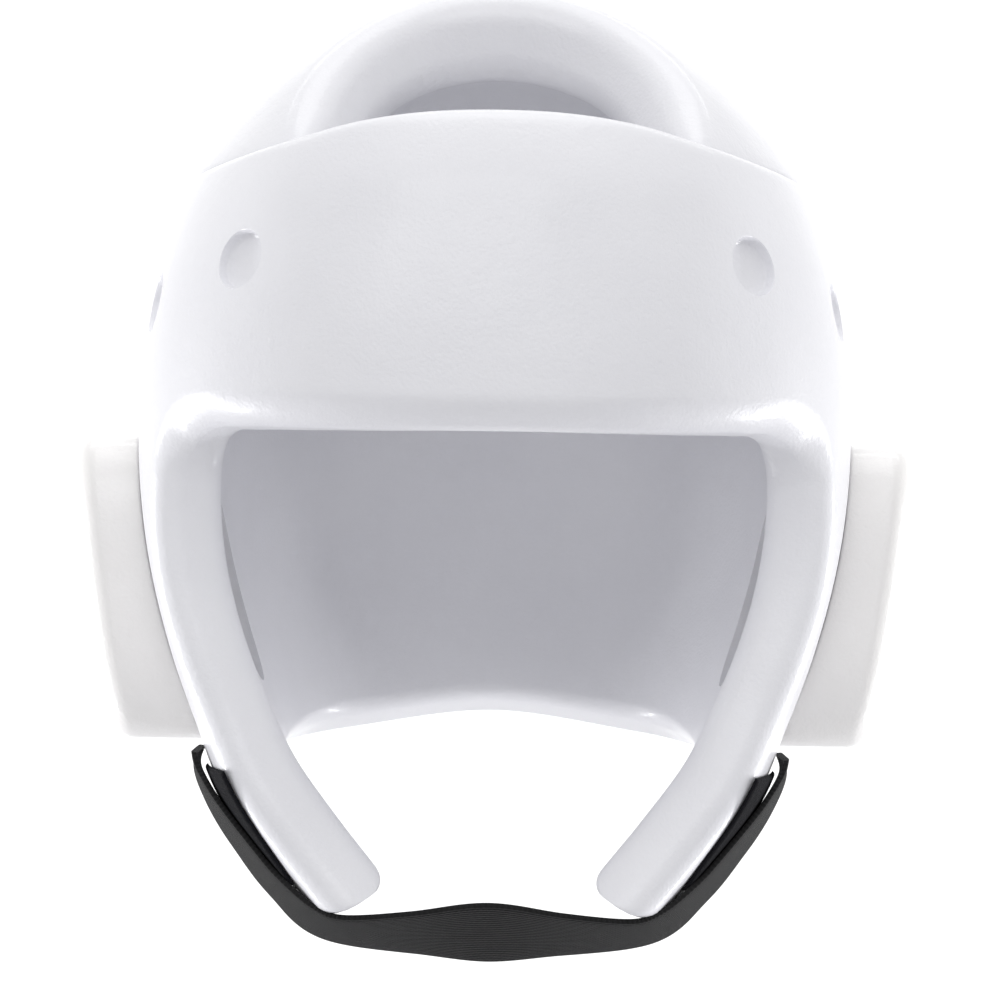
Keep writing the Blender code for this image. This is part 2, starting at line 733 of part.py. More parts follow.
def ear_rings(turn):
    """Rings from the cavity's roof, over the foot and up the outside to the face."""
    def foot(y, z):
        return form_half_width(y, z) + EAR_GAP

    def roof(y, z):
        return ear_face(y, z) - EAR_WALL

    rings = [
        ear_ring(share * CAVITY_LENGTH, share * CAVITY_HEIGHT, CAVITY_SQUARE, turn, roof)
        for share in CAVITY_ROOF_SHARES
    ]
    middle_length = (CAVITY_LENGTH + EAR_LENGTH) / 2
    middle_height = (CAVITY_HEIGHT + EAR_HEIGHT) / 2
    rings += [
        ear_ring(CAVITY_LENGTH, CAVITY_HEIGHT, CAVITY_SQUARE, turn, foot),
        ear_ring(middle_length, middle_height, BETWEEN_SQUARE, turn, foot),
        ear_ring(EAR_LENGTH, EAR_HEIGHT, EAR_SQUARE, turn, foot),
    ]
    for bend in np.radians(EAR_BENDS):
        inset = 2 * EAR_ROUND * (1 - np.cos(bend))
        lowering = EAR_ROUND * (1 - np.sin(bend))
        rings.append(ear_ring(
            EAR_LENGTH - inset, EAR_HEIGHT - inset, EAR_SQUARE, turn,
            lambda y, z, lowering=lowering: ear_face(y, z) - lowering,
        ))
    for share, square in ((0.56, BETWEEN_SQUARE), (0.23, CAVITY_SQUARE)):
        rings.append(ear_ring(share * EAR_LENGTH, share * EAR_HEIGHT, square, turn, ear_face))
    return np.array(rings)


def sound_hole_cutters(collection, side):
    """Five round holes through an ear cup's wall, one in the middle and the rest around it."""
    turns = np.radians(45) + np.arange(SOUND_HOLES_AROUND) * 2 * np.pi / SOUND_HOLES_AROUND
    places = [(0.0, 0.0)] + [(np.cos(turn), np.sin(turn)) for turn in turns]
    for row, (along, up) in enumerate(places):
        centre = np.array([
            side * EAR_REACH,
            EAR_CENTRE_Y + along * SOUND_HOLE_RING,
            -EAR_CENTRE_DROP + up * SOUND_HOLE_RING,
        ])
        radius = SOUND_HOLE_WIDTH / 2
        profile = ((radius, -0.01), (radius, EAR_TAPER + EAR_WALL))
        rings = turned_rings(centre, (side, 0.0, 0.0), profile, 10)
        add_cutter(f"sound_hole_{side}_{row}", ring_mesh("sound_hole", rings), collection)


def ear_cup(name, side, collection, cutters, parent):
    """Raised cup over one ear, hollow towards the head."""
    turn = np.linspace(0, 2 * np.pi, EAR_STEPS, endpoint=False) + np.radians(EAR_TURN)
    rings = ear_rings(turn) * np.array([side, 1.0, 1.0])
    if side < 0:
        rings = rings[:, ::-1]
    piece = add_object(name, ring_mesh(name, rings), collection, parent, white_foam())
    add_cuts(piece, cutters)
    return piece


def strap_line():
    """Middle line of the strap from one end to the other, with its lean; its ends lie on the shell."""
    last = len(CHIN_STRAP) - 1
    keyed = [Keyed(row / last, *stretch) for row, stretch in enumerate(CHIN_STRAP)]
    keyed += [row._replace(share=2 - row.share, span=-row.span) for row in keyed[-2::-1]]
    share = np.linspace(0, 1, STRAP_STEPS + 1)
    half = np.stack([
        -STRAP_HALF_SPAN * follow(keyed, "share", "span", share),
        follow(keyed, "share", "middle_y", share),
        -STRAP_DROP * follow(keyed, "share", "drop", share),
    ], axis=-1)
    lean = np.radians(follow(keyed, "share", "lean", share))
    rear_y = half[0, 1] + STRAP_WIDTH / 2
    seat = form_half_width(rear_y, half[0, 2]) + STRAP_GAP + STRAP_THICKNESS / 2
    half[:, 0] -= (seat + half[0, 0]) * (1 - smooth_step(0.0, STRAP_SEAT_SHARE, share))
    other = half[-2::-1] * np.array([-1.0, 1.0, 1.0])
    return np.concatenate([half, other]), np.concatenate([lean, lean[-2::-1]])


def chin_strap(collection, parent):
    """Webbing from under one ear cup, below the chin, to the other."""
    line, lean = strap_line()
    run = unit(np.gradient(line, axis=0) * np.array([1.0, 0.0, 1.0]))
    outward = np.stack([run[:, 2], 0 * lean, -run[:, 0]], axis=-1)
    rearward = np.array([0.0, 1.0, 0.0])
    across = np.cos(lean)[:, None] * rearward + np.sin(lean)[:, None] * outward
    face = np.cross(across, run)
    corners = ((-0.5, 0.5), (0.5, 0.5), (0.5, -0.5), (-0.5, -0.5))
    rings = np.stack([
        line + a * STRAP_WIDTH * across + b * STRAP_THICKNESS * face for a, b in corners
    ], axis=1)
    mesh = ring_mesh("chin_strap", rings)
    return add_object("chin_strap", mesh, collection, parent, black_webbing())


def strap_patch(name, side, collection, parent):
    """Loop tape on the outer face of one cheek bar."""
    y, z = np.meshgrid(
        np.linspace(PATCH_FRONT_Y, PATCH_REAR_Y, 7),
        np.linspace(-PATCH_TOP_DROP * GUARD_DROP, -PATCH_END_DROP * GUARD_DROP, 9),
    )
    surface = np.stack([form_half_width(y, z), y, z], axis=-1)
    around = np.degrees(np.arctan2(surface[..., 0], -y))
    normal = form_normal(around, -z / GUARD_DROP)
    outer = surface + normal * (PATCH_GAP + PATCH_THICKNESS)
    inner = surface + normal * PATCH_GAP
    flip = np.array([side, 1.0, 1.0])
    if side > 0:
        outer, inner = outer[:, ::-1], inner[:, ::-1]
    mesh = sheet_mesh(name, [(outer * flip, inner * flip)])
    return add_object(name, mesh, collection, parent, black_tape())


def new_collection(name):
    """Collection linked to the scene."""
    collection = bpy.data.collections.new(name)
    bpy.context.scene.collection.children.link(collection)
    return collection


def main():
    """Clears the scene and builds the head guard."""
    for old in list(bpy.data.objects):
        bpy.data.objects.remove(old)
    guard = new_collection("head_guard")
    shell_cutters = new_collection("shell_cutters")
    frame = bpy.data.objects.new("head_guard_frame", None)
    guard.objects.link(frame)
    dimple_cutters(shell_cutters)
    ear_hole_cutters(shell_cutters)
    shell(guard, shell_cutters, frame)
    crown_hood(guard, frame)
    for name, side in (("left", -1), ("right", 1)):
        cup_cutters = new_collection(f"ear_cup_{name}_cutters")
        sound_hole_cutters(cup_cutters, side)
        ear_cup(f"ear_cup_{name}", side, guard, cup_cutters, frame)
        strap_patch(f"strap_patch_{name}", side, guard, frame)
    chin_strap(guard, frame)


main()
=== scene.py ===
# %% [markdown]
# # A dipped-foam head guard
# This guard is a soft helmet of thick closed-cell foam, dipped in white vinyl until the skin is glossy.
# The lesson builds each piece as a smooth surface over one head form, worked out with numpy, and then
# gives it the finish of the real material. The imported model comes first: it fixes every size.

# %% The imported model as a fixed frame
import json

import bpy
import numpy as np
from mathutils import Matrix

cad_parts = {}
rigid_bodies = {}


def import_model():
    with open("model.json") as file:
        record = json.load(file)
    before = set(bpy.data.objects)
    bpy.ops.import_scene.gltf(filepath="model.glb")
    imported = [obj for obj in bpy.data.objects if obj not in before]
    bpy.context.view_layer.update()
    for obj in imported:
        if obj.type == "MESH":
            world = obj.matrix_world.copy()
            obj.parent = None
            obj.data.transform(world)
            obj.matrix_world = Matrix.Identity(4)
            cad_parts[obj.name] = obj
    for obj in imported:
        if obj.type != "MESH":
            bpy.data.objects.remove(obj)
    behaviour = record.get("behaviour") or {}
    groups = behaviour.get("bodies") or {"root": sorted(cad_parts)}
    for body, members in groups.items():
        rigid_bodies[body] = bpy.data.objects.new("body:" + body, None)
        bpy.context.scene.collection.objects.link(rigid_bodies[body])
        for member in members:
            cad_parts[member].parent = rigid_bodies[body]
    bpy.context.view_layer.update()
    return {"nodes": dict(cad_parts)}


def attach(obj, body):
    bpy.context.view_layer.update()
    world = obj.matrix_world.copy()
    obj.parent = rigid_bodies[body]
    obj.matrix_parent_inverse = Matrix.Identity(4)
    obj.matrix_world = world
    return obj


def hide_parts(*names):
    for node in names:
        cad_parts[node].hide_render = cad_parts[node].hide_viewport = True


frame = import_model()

print("pieces in the model:", sorted(frame["nodes"]))

# %% [markdown]
# ## Camera
# The guard is seen from straight ahead, level with the eyes and 1.2 m away from them, through a long
# lens, so the sides hardly spread. It is made before anything else, because it fixes what shows.

# %% Camera
EYE_HEIGHT = -0.133
camera_data = bpy.data.cameras.new("camera")
camera_data.lens = 150.9
camera_data.sensor_width = 36.0
camera = bpy.data.objects.new("camera", camera_data)
camera.location = (0.002, -1.3, EYE_HEIGHT)
camera.rotation_euler = np.radians((90.0, -0.8, 0.0))
bpy.context.scene.collection.objects.link(camera)
bpy.context.scene.camera = camera
print("camera at", tuple(round(value, 3) for value in camera.location))

# %% [markdown]
# ## Small tools
# Four helpers carry the whole lesson. One follows a table as a smooth curve, one makes a soft step,
# one rounds an edge and one welds grids of points into a closed mesh. They work on whole arrays.

# %% Curves, steps and rounded edges
WELD = 0.00001


def follow(rows, column, at):
    """Cubic curve through one column of a table, keyed by its first column; slopes come from neighbours."""
    keys = np.array([row[0] for row in rows], dtype=float)
    values = np.array([row[column] for row in rows], dtype=float)
    slopes = np.gradient(values, keys)
    at = np.clip(np.asarray(at, dtype=float), keys[0], keys[-1])
    piece = np.clip(np.searchsorted(keys, at, side="right") - 1, 0, len(keys) - 2)
    width = keys[piece + 1] - keys[piece]
    t = (at - keys[piece]) / width
    start = values[piece] * (1 + 2 * t) * (1 - t) ** 2 + width * slopes[piece] * t * (1 - t) ** 2
    end = values[piece + 1] * t**2 * (3 - 2 * t) + width * slopes[piece + 1] * t**2 * (t - 1)
    return start + end


def soft_step(low, high, at):
    """0 below low, 1 above high, and t squared times (3 - 2t) between them."""
    t = np.clip((at - low) / (high - low), 0.0, 1.0)
    return t * t * (3 - 2 * t)


def unit(vectors):
    """Each vector divided by its length."""
    return vectors / np.linalg.norm(vectors, axis=-1, keepdims=True)


def rounding(distance, radius, power=2.0):
    """Depth under the flat face, at a distance in from the edge: radius - radius (1 - inward^p)^(1/p),
    where inward runs from 1 at the edge to 0 at the end of the rounding. Power 2 is a quarter circle,
    and a lower power is a bevel with a soft line where it meets the face."""
    inward = np.clip(1 - distance / radius, 0.0, 1.0)
    return radius - radius * (1 - inward**power) ** (1 / power)


def joined(*depths):
    """One depth where round edges meet: the cube root of the sum of their cubes."""
    return sum(depth**3 for depth in depths) ** (1 / 3)


def even_arc(radius, steps):
    """Distances in from an edge that divide its quarter circle evenly: radius (1 - cos turn)."""
    return radius * (1 - np.cos(np.linspace(0, np.pi / 2, steps)))


def run_lengths(points, axis):
    """Length along each grid line from its first point: running sums of the steps."""
    steps = np.linalg.norm(np.diff(points, axis=axis), axis=-1)
    start = np.zeros_like(np.take(steps, [0], axis=axis))
    return np.concatenate([start, np.cumsum(steps, axis=axis)], axis=axis)


print("a 9 mm edge, a third of the way in, lies", round(1000 * float(rounding(0.003, 0.009)), 2), "mm deep")

# %% Grids into meshes
def grid_quads(rows, columns, first=0):
    """Four corners of each cell of a grid whose points are numbered row by row."""
    index = first + np.arange(rows * columns).reshape(rows, columns)
    corners = (index[:-1, :-1], index[:-1, 1:], index[1:, 1:], index[1:, :-1])
    return np.stack(corners, axis=-1).reshape(-1, 4)


def welded(points, faces):
    """Points that share a place become one, and the faces are renumbered."""
    _, kept, twin = np.unique(np.round(points / WELD), axis=0, return_index=True, return_inverse=True)
    return points[kept], twin.reshape(-1)[faces]


def lone_edges(quads):
    """Edges that only one quad has, in that quad's direction."""
    edges = np.concatenate([quads[:, (corner, (corner + 1) % 4)] for corner in range(4)])
    _, place, count = np.unique(np.sort(edges, axis=1), axis=0, return_index=True, return_counts=True)
    return edges[place[count == 1]]


def both_halves(points, faces):
    """A half and its mirror image across x = 0, with the mirror's faces turned round."""
    points = points.copy()
    points[np.abs(points[:, 0]) < WELD, 0] = 0.0
    mirror = points * np.array([-1.0, 1.0, 1.0])
    faces = np.concatenate([faces, faces[:, ::-1] + len(points)])
    return welded(np.concatenate([points, mirror]), faces)


def foam_sheet(grids, halved=True):
    """Closed sheet between pairs of grids (outer, inner). Walls join them along every lone edge, but
    not on the middle plane when the sheet is one half."""
    outer = np.concatenate([grid.reshape(-1, 3) for grid, _ in grids])
    inner = np.concatenate([grid.reshape(-1, 3) for _, grid in grids])
    outer[np.abs(outer[:, 0]) < WELD, 0] = 0.0
    inner[np.abs(inner[:, 0]) < WELD, 0] = 0.0
    starts = np.cumsum([0] + [grid.shape[0] * grid.shape[1] for grid, _ in grids])
    quads = np.concatenate([
        grid_quads(*grid.shape[:2], start) for (grid, _), start in zip(grids, starts)
    ])
    _, kept, twin = np.unique(
        np.round(outer / WELD), axis=0, return_index=True, return_inverse=True
    )
    outer, inner, quads = outer[kept], inner[kept], twin.reshape(-1)[quads]
    rim = lone_edges(quads)
    if halved:
        rim = rim[~np.all(outer[rim, 0] == 0.0, axis=1)]
    count = len(outer)
    walls = np.stack([rim[:, 1], rim[:, 0], rim[:, 0] + count, rim[:, 1] + count], axis=-1)
    faces = np.concatenate([quads, quads[:, ::-1] + count, walls])
    points = np.concatenate([outer, inner])
    return both_halves(points, faces) if halved else (points, faces)


def new_piece(name, points, faces, finish=None, sharp=50.0):
    """Object at the origin from arrays of points and faces, shaded smooth up to an angle."""
    mesh = bpy.data.meshes.new(name)
    mesh.from_pydata(points.tolist(), [], [list(face) for face in faces])
    mesh.validate()
    mesh.shade_smooth()
    mesh.set_sharp_from_angle(angle=np.radians(sharp))
    piece = bpy.data.objects.new(name, mesh)
    bpy.context.scene.collection.objects.link(piece)
    if finish is not None:
        mesh.materials.append(finish)
    return piece


def rings_solid(rings):
    """Closed solid through rings of points, with a flat face over each end."""
    rows, count = rings.shape[:2]
    index = np.arange(rows * count).reshape(rows, count)
    wrapped = np.concatenate([index, index[:, :1]], axis=1)
    corners = (wrapped[:-1, :-1], wrapped[:-1, 1:], wrapped[1:, 1:], wrapped[1:, :-1])
    faces = np.stack(corners, axis=-1).reshape(-1, 4).tolist()
    faces += [index[0, ::-1].tolist(), index[-1].tolist()]
    return rings.reshape(-1, 3), faces


def cut_away(piece, cutters):
    """Takes closed solids out of a piece and leaves a plain mesh, without the cutters."""
    group = bpy.data.collections.new("cutters")
    for cutter in cutters:
        bpy.context.scene.collection.objects.unlink(cutter)
        group.objects.link(cutter)
    bpy.context.scene.collection.children.link(group)
    cut = piece.modifiers.new("cuts", "BOOLEAN")
    cut.operation = "DIFFERENCE"
    cut.operand_type = "COLLECTION"
    cut.collection = group
    cut.solver = "EXACT"
    graph = bpy.context.evaluated_depsgraph_get()
    finished = bpy.data.meshes.new_from_object(piece.evaluated_get(graph))
    piece.modifiers.clear()
    plain = piece.data
    piece.data = finished
    bpy.data.meshes.remove(plain)
    finished.name = piece.name
    finished.shade_smooth()
    finished.set_sharp_from_angle(angle=np.radians(50.0))
    for cutter in list(group.objects):
        mesh = cutter.data
        bpy.data.objects.remove(cutter)
        bpy.data.meshes.remove(mesh)
    bpy.data.collections.remove(group)
    print(piece.name, "has", len(finished.polygons), "faces after cutting")


def turned(centre, axis, profile, sides):
    """Solid of revolution: each profile row is a radius and a depth along minus the axis."""
    axis = unit(np.asarray(axis, dtype=float))
    across = unit(np.cross(axis, (0.0, 0.0, 1.0)))
    upward = np.cross(across, axis)
    turn = np.linspace(0, 2 * np.pi, sides, endpoint=False)
    spoke = np.cos(turn)[:, None] * across + np.sin(turn)[:, None] * upward
    radius = np.array([row[0] for row in profile])[:, None, None]
    depth = np.array([row[1] for row in profile])[:, None, None]
    return rings_solid(np.asarray(centre) + radius * spoke - depth * axis)


print("helpers ready")

# %% [markdown]
# ## Finishes
# The foam is dipped in soft vinyl. That gives a white skin with a wet gloss, fine pimples about a
# millimetre wide where the coat settled over the cells, and slow waves where it ran. The strap is
# black polyester webbing, and the patches are black loop tape, a brushed knit that drinks the light.
# Colours are given as sRGB hex values, as a colour picker shows them, and turned to linear once.

# %% Colours and nodes
def linear(hex_colour):
    """sRGB hex to linear RGBA: c / 12.92 for dark values, ((c + 0.055) / 1.055)^2.4 for the rest."""
    shares = np.array([int(hex_colour[place : place + 2], 16) / 255 for place in (1, 3, 5)])
    bright = np.where(shares <= 0.04045, shares / 12.92, ((shares + 0.055) / 1.055) ** 2.4)
    return (*bright.tolist(), 1.0)


def add_node(tree, kind, settings=(), links=()):
    """Adds a node, sets its properties or sockets by name and links its inputs to other sockets."""
    node = tree.nodes.new(kind)
    for name, value in dict(settings).items():
        if isinstance(name, str) and hasattr(node, name):
            setattr(node, name, value)
        else:
            node.inputs[name].default_value = value
    for name, socket in dict(links).items():
        tree.links.new(socket, node.inputs[name])
    return node


def new_finish(name):
    """Empty material with its principled shader."""
    finish = bpy.data.materials.new(name)
    finish.use_nodes = True
    return finish, finish.node_tree, finish.node_tree.nodes["Principled BSDF"]


print("white is", [round(value, 3) for value in linear("#E9E9EE")])

# %% [markdown]
# ### Dipped vinyl over foam
# Soft vinyl has an IOR near 1.53. The pimples are a noise with cells of about 1.1 mm, a second noise
# of 5 mm stands for foam cells under the skin, and waves of 30 mm for the run of the coat. Scales are
# one over the size in metres. The roughness changes a little where hands have polished the skin.

# %% Dipped vinyl
def dipped_vinyl(name, light, shade):
    """Glossy white skin: three noises for bump, and one for both tint and roughness."""
    finish, tree, shader = new_finish(name)
    place = add_node(tree, "ShaderNodeTexCoord").outputs["Object"]
    pimples = add_node(tree, "ShaderNodeTexNoise", {"Scale": 900.0, "Detail": 2.0}, {"Vector": place})
    cells = add_node(tree, "ShaderNodeTexNoise", {"Scale": 210.0, "Detail": 1.0}, {"Vector": place})
    run = add_node(tree, "ShaderNodeTexNoise", {"Scale": 34.0, "Detail": 1.0}, {"Vector": place})
    tint = add_node(tree, "ShaderNodeTexNoise", {"Scale": 22.0, "Detail": 4.0}, {"Vector": place})
    fine = add_node(
        tree, "ShaderNodeBump", {"Strength": 0.8, "Distance": 0.00016},
        {"Height": pimples.outputs["Fac"]},
    )
    middle = add_node(
        tree, "ShaderNodeBump", {"Strength": 0.5, "Distance": 0.00026},
        {"Height": cells.outputs["Fac"], "Normal": fine.outputs["Normal"]},
    )
    broad = add_node(
        tree, "ShaderNodeBump", {"Strength": 0.5, "Distance": 0.0009},
        {"Height": run.outputs["Fac"], "Normal": middle.outputs["Normal"]},
    )
    colour = add_node(
        tree, "ShaderNodeMix", {"data_type": "RGBA"}, {"Factor": tint.outputs["Fac"]}
    )
    colour.inputs[6].default_value = linear(light)
    colour.inputs[7].default_value = linear(shade)
    rough = add_node(
        tree, "ShaderNodeMapRange", {"To Min": 0.26, "To Max": 0.38}, {"Value": tint.outputs["Fac"]}
    )
    tree.links.new(colour.outputs[2], shader.inputs["Base Color"])
    tree.links.new(rough.outputs["Result"], shader.inputs["Roughness"])
    tree.links.new(broad.outputs["Normal"], shader.inputs["Normal"])
    shader.inputs["IOR"].default_value = 1.53
    shader.inputs["Coat Weight"].default_value = 0.25
    shader.inputs["Coat Roughness"].default_value = 0.12
    return finish


white_skin = dipped_vinyl("dipped_vinyl_white", "#F1F1F5", "#E8E8ED")
cup_skin = dipped_vinyl("dipped_vinyl_cup", "#F6F5F4", "#EEECEB")
print("made", white_skin.name, "and", cup_skin.name)

# %% [markdown]
# ### Woven webbing
# Polyester webbing has ribs that run along it, about 1.3 mm apart, and each is crossed by picks
# 1.6 mm long that step by half from rib to rib. The pattern follows the strap, so it reads the strap's
# own UV map, which holds metres along and across.

# %% Woven webbing
RIB_WIDTH = 0.0013
PICK_LENGTH = 0.0016


def woven_webbing(name):
    """Twill ribs from two sines of the UV place, with lint and a little sheen. The colour is painted shade:
    darker in the grooves between the ribs and lighter on the rib tops.
    """
    finish, tree, shader = new_finish(name)
    place = add_node(tree, "ShaderNodeTexCoord").outputs["UV"]
    split = add_node(tree, "ShaderNodeSeparateXYZ", (), {"Vector": place})
    along = add_node(
        tree, "ShaderNodeMath", {"operation": "MULTIPLY", 1: 2 * np.pi / PICK_LENGTH},
        {0: split.outputs["X"]},
    )
    across = add_node(
        tree, "ShaderNodeMath", {"operation": "MULTIPLY", 1: np.pi / RIB_WIDTH},
        {0: split.outputs["Y"]},
    )
    rib = add_node(tree, "ShaderNodeMath", {"operation": "SINE"}, {0: across.outputs["Value"]})
    step = add_node(tree, "ShaderNodeMath", {"operation": "SIGN"}, {0: rib.outputs["Value"]})
    pick = add_node(tree, "ShaderNodeMath", {"operation": "SINE"}, {0: along.outputs["Value"]})
    turn = add_node(
        tree, "ShaderNodeMath", {"operation": "MULTIPLY"},
        {0: pick.outputs["Value"], 1: step.outputs["Value"]},
    )
    ridge = add_node(tree, "ShaderNodeMath", {"operation": "ABSOLUTE"}, {0: rib.outputs["Value"]})
    thread = add_node(
        tree, "ShaderNodeMath", {"operation": "MULTIPLY_ADD", 1: 0.35},
        {0: turn.outputs["Value"], 2: ridge.outputs["Value"]},
    )
    lint = add_node(
        tree, "ShaderNodeTexNoise", {"Scale": 2600.0, "Detail": 3.0}, {"Vector": place}
    )
    weave = add_node(
        tree, "ShaderNodeBump", {"Strength": 0.9, "Distance": 0.00035},
        {"Height": thread.outputs["Value"]},
    )
    fuzz = add_node(
        tree, "ShaderNodeBump", {"Strength": 0.5, "Distance": 0.00012},
        {"Height": lint.outputs["Fac"], "Normal": weave.outputs["Normal"]},
    )
    # Painted shade: the colour follows the weave's height, darkest in the grooves between ribs and picks and
    # lightest on the thread tops.
    share = add_node(
        tree, "ShaderNodeMapRange", {"From Min": -0.2, "From Max": 1.3}, {"Value": thread.outputs["Value"]}
    )
    colour = add_node(tree, "ShaderNodeMix", {"data_type": "RGBA"}, {"Factor": share.outputs["Result"]})
    colour.inputs[6].default_value = linear("#070708")
    colour.inputs[7].default_value = linear("#19191A")
    tree.links.new(colour.outputs[2], shader.inputs["Base Color"])
    tree.links.new(fuzz.outputs["Normal"], shader.inputs["Normal"])
    shader.inputs["Roughness"].default_value = 0.82
    shader.inputs["Specular IOR Level"].default_value = 0.3
    shader.inputs["IOR"].default_value = 1.5
    shader.inputs["Sheen Weight"].default_value = 0.03
    shader.inputs["Sheen Roughness"].default_value = 0.5
    return finish


webbing = woven_webbing("woven_polyester_webbing")
print("made", webbing.name)

# %% [markdown]
# ### Loop tape
# Loop tape is a knit whose loops were brushed up into a nap under a millimetre deep. It has no gloss
# at all. Two noises of 0.5 and 2 mm give tufts and brushed patches.

# %% Loop tape
def loop_tape(name):
    """Near-black nap: tufts from a fine noise, brushed patches from a coarser one, and painted shade that
    darkens the hollows between the tufts.
    """
    finish, tree, shader = new_finish(name)
    place = add_node(tree, "ShaderNodeTexCoord").outputs["Object"]
    tufts = add_node(tree, "ShaderNodeTexNoise", {"Scale": 1900.0, "Detail": 3.0}, {"Vector": place})
    brushed = add_node(tree, "ShaderNodeTexNoise", {"Scale": 420.0, "Detail": 2.0}, {"Vector": place})
    nap = add_node(
        tree, "ShaderNodeBump", {"Strength": 1.0, "Distance": 0.0006}, {"Height": tufts.outputs["Fac"]}
    )
    patches = add_node(
        tree, "ShaderNodeBump", {"Strength": 0.7, "Distance": 0.0008},
        {"Height": brushed.outputs["Fac"], "Normal": nap.outputs["Normal"]},
    )
    # Painted shade: the colour follows the tufts' height noise, darker in the hollows of the nap and lighter
    # on the tuft tops.
    colour = add_node(tree, "ShaderNodeMix", {"data_type": "RGBA"}, {"Factor": tufts.outputs["Fac"]})
    colour.inputs[6].default_value = linear("#050509")
    colour.inputs[7].default_value = linear("#15151B")
    tree.links.new(colour.outputs[2], shader.inputs["Base Color"])
    tree.links.new(patches.outputs["Normal"], shader.inputs["Normal"])
    shader.inputs["Roughness"].default_value = 0.95
    shader.inputs["Specular IOR Level"].default_value = 0.2
    return finish


tape = loop_tape("brushed_loop_tape")
print("made", tape.name)

# %% [markdown]
# ## The head form
# The real guard is cut from flat foam and glued over a last. A last is a smooth egg, so it is described
# by how its level sections change from the rim down: half width, reach in front and behind, and how
# square the section is. A place on it is given by degrees around from the front and by the drop from
# the origin as a share of the guard's height.

# %% Sections of the head form
HALF_WIDTH = 0.1088
FRONT_REACH = 0.120
BACK_REACH = 0.118
GUARD_DROP = 0.255
FOAM = 0.021
SECTIONS = (
    # drop, half width, front reach, back reach, squareness
    (0.05, 0.730, 0.790, 0.700, 2.30),
    (0.10, 0.815, 0.862, 0.810, 2.30),
    (0.15, 0.872, 0.915, 0.875, 2.35),
    (0.23, 0.937, 0.958, 0.935, 2.40),
    (0.33, 0.985, 0.990, 0.980, 2.45),
    (0.43, 1.000, 1.000, 1.000, 2.50),
    (0.52, 0.988, 0.997, 0.990, 2.80),
    (0.61, 0.955, 0.988, 0.960, 3.10),
    (0.70, 0.898, 0.975, 0.910, 3.30),
    (0.79, 0.820, 0.958, 0.850, 3.30),
    (0.87, 0.748, 0.935, 0.800, 3.05),
    (0.94, 0.632, 0.917, 0.780, 3.00),
    (1.00, 0.520, 0.900, 0.770, 3.00),
    (1.04, 0.446, 0.890, 0.765, 3.00),
)


def section_at(drop, forward):
    """Half width, reach and squareness of the form at a drop."""
    front = FRONT_REACH * follow(SECTIONS, 2, drop)
    back = BACK_REACH * follow(SECTIONS, 3, drop)
    return HALF_WIDTH * follow(SECTIONS, 1, drop), np.where(forward, front, back), follow(SECTIONS, 4, drop)


def form_point(around, drop):
    """Superellipse in polar form: radius = (|sin a / width|^n + |cos a / reach|^n)^(-1/n)."""
    angle = np.radians(around)
    width, reach, square = section_at(drop, np.cos(angle) >= 0)
    radius = (
        np.abs(np.sin(angle) / width) ** square + np.abs(np.cos(angle) / reach) ** square
    ) ** (-1 / square)
    return np.stack(
        [radius * np.sin(angle), -radius * np.cos(angle), -GUARD_DROP * drop + 0 * angle], axis=-1
    )


def form_normal(around, drop):
    """Outward direction: the cross product of two short steps on the form."""
    along = form_point(around + 0.5, drop) - form_point(around - 0.5, drop)
    down = form_point(around, drop + 0.002) - form_point(around, drop - 0.002)
    return unit(np.cross(down, along))


def form_half_width(y, z):
    """Half width of the form at a place seen from the side: width (1 - |y / reach|^n)^(1/n)."""
    width, reach, square = section_at(-z / GUARD_DROP, y < 0)
    return width * (1 - np.abs(y / reach) ** square) ** (1 / square)


print("widest point in mm:", np.round(1000 * form_point(90.0, 0.43), 1))

# %% [markdown]
# ## The shell
# Forehead band, sides, back and both cheek bars are one piece of foam 21 mm thick. Its outline on the
# form is four edges: the face opening, the lower hem, the top rim, and a line straight down behind
# the ear. A Coons patch fills the front part between them, and a second grid carries on round the
# back. Lines crowd together beside each edge, so the rounded edges stay smooth.

# %% Edges of the shell
TOP_RIM = (
    # degrees around, drop
    (-24, 0.0850),
    (0, 0.0728),
    (24, 0.0850),
    (36, 0.1050),
    (60, 0.1290),
    (90, 0.1435),
    (135, 0.1500),
    (180, 0.1500),
)
OPENING_EDGE = (
    # share along, degrees around, drop
    (0.000, 0.0, 0.4445),
    (0.120, 14.0, 0.4435),
    (0.240, 28.0, 0.4400),
    (0.330, 39.0, 0.4380),
    (0.395, 47.0, 0.4410),
    (0.435, 52.0, 0.4560),
    (0.470, 54.6, 0.4820),
    (0.520, 55.4, 0.5220),
    (0.620, 54.9, 0.6000),
    (0.720, 52.2, 0.6900),
    (0.810, 47.6, 0.7850),
    (0.890, 40.6, 0.8720),
    (0.950, 33.8, 0.9380),
    (1.000, 26.0, 0.9980),
)
HEM_EDGE = (
    # share along, degrees around, drop
    (0.00, 26.0, 0.998),
    (0.09, 32.2, 1.007),
    (0.20, 40.2, 1.001),
    (0.33, 50.0, 0.968),
    (0.46, 60.0, 0.920),
    (0.59, 70.0, 0.884),
    (0.76, 82.0, 0.870),
    (1.00, 100.0, 0.868),
)
BACK_HEM = (
    # degrees around, drop
    (100, 0.868),
    (125, 0.852),
    (152, 0.825),
    (180, 0.800),
    (208, 0.825),
)
RIM_LINES = (
    # share along the far edge, degrees around
    (0.000, 0.0),
    (0.080, 9.5),
    (0.155, 19.0),
    (0.225, 28.0),
    (0.285, 37.0),
    (0.330, 46.0),
    (0.370, 57.0),
    (0.405, 69.0),
    (0.440, 81.0),
    (0.470, 91.0),
    (0.500, 100.0),
)


def rim_drop(around):
    """Drop of the top rim."""
    return follow(TOP_RIM, 1, around)


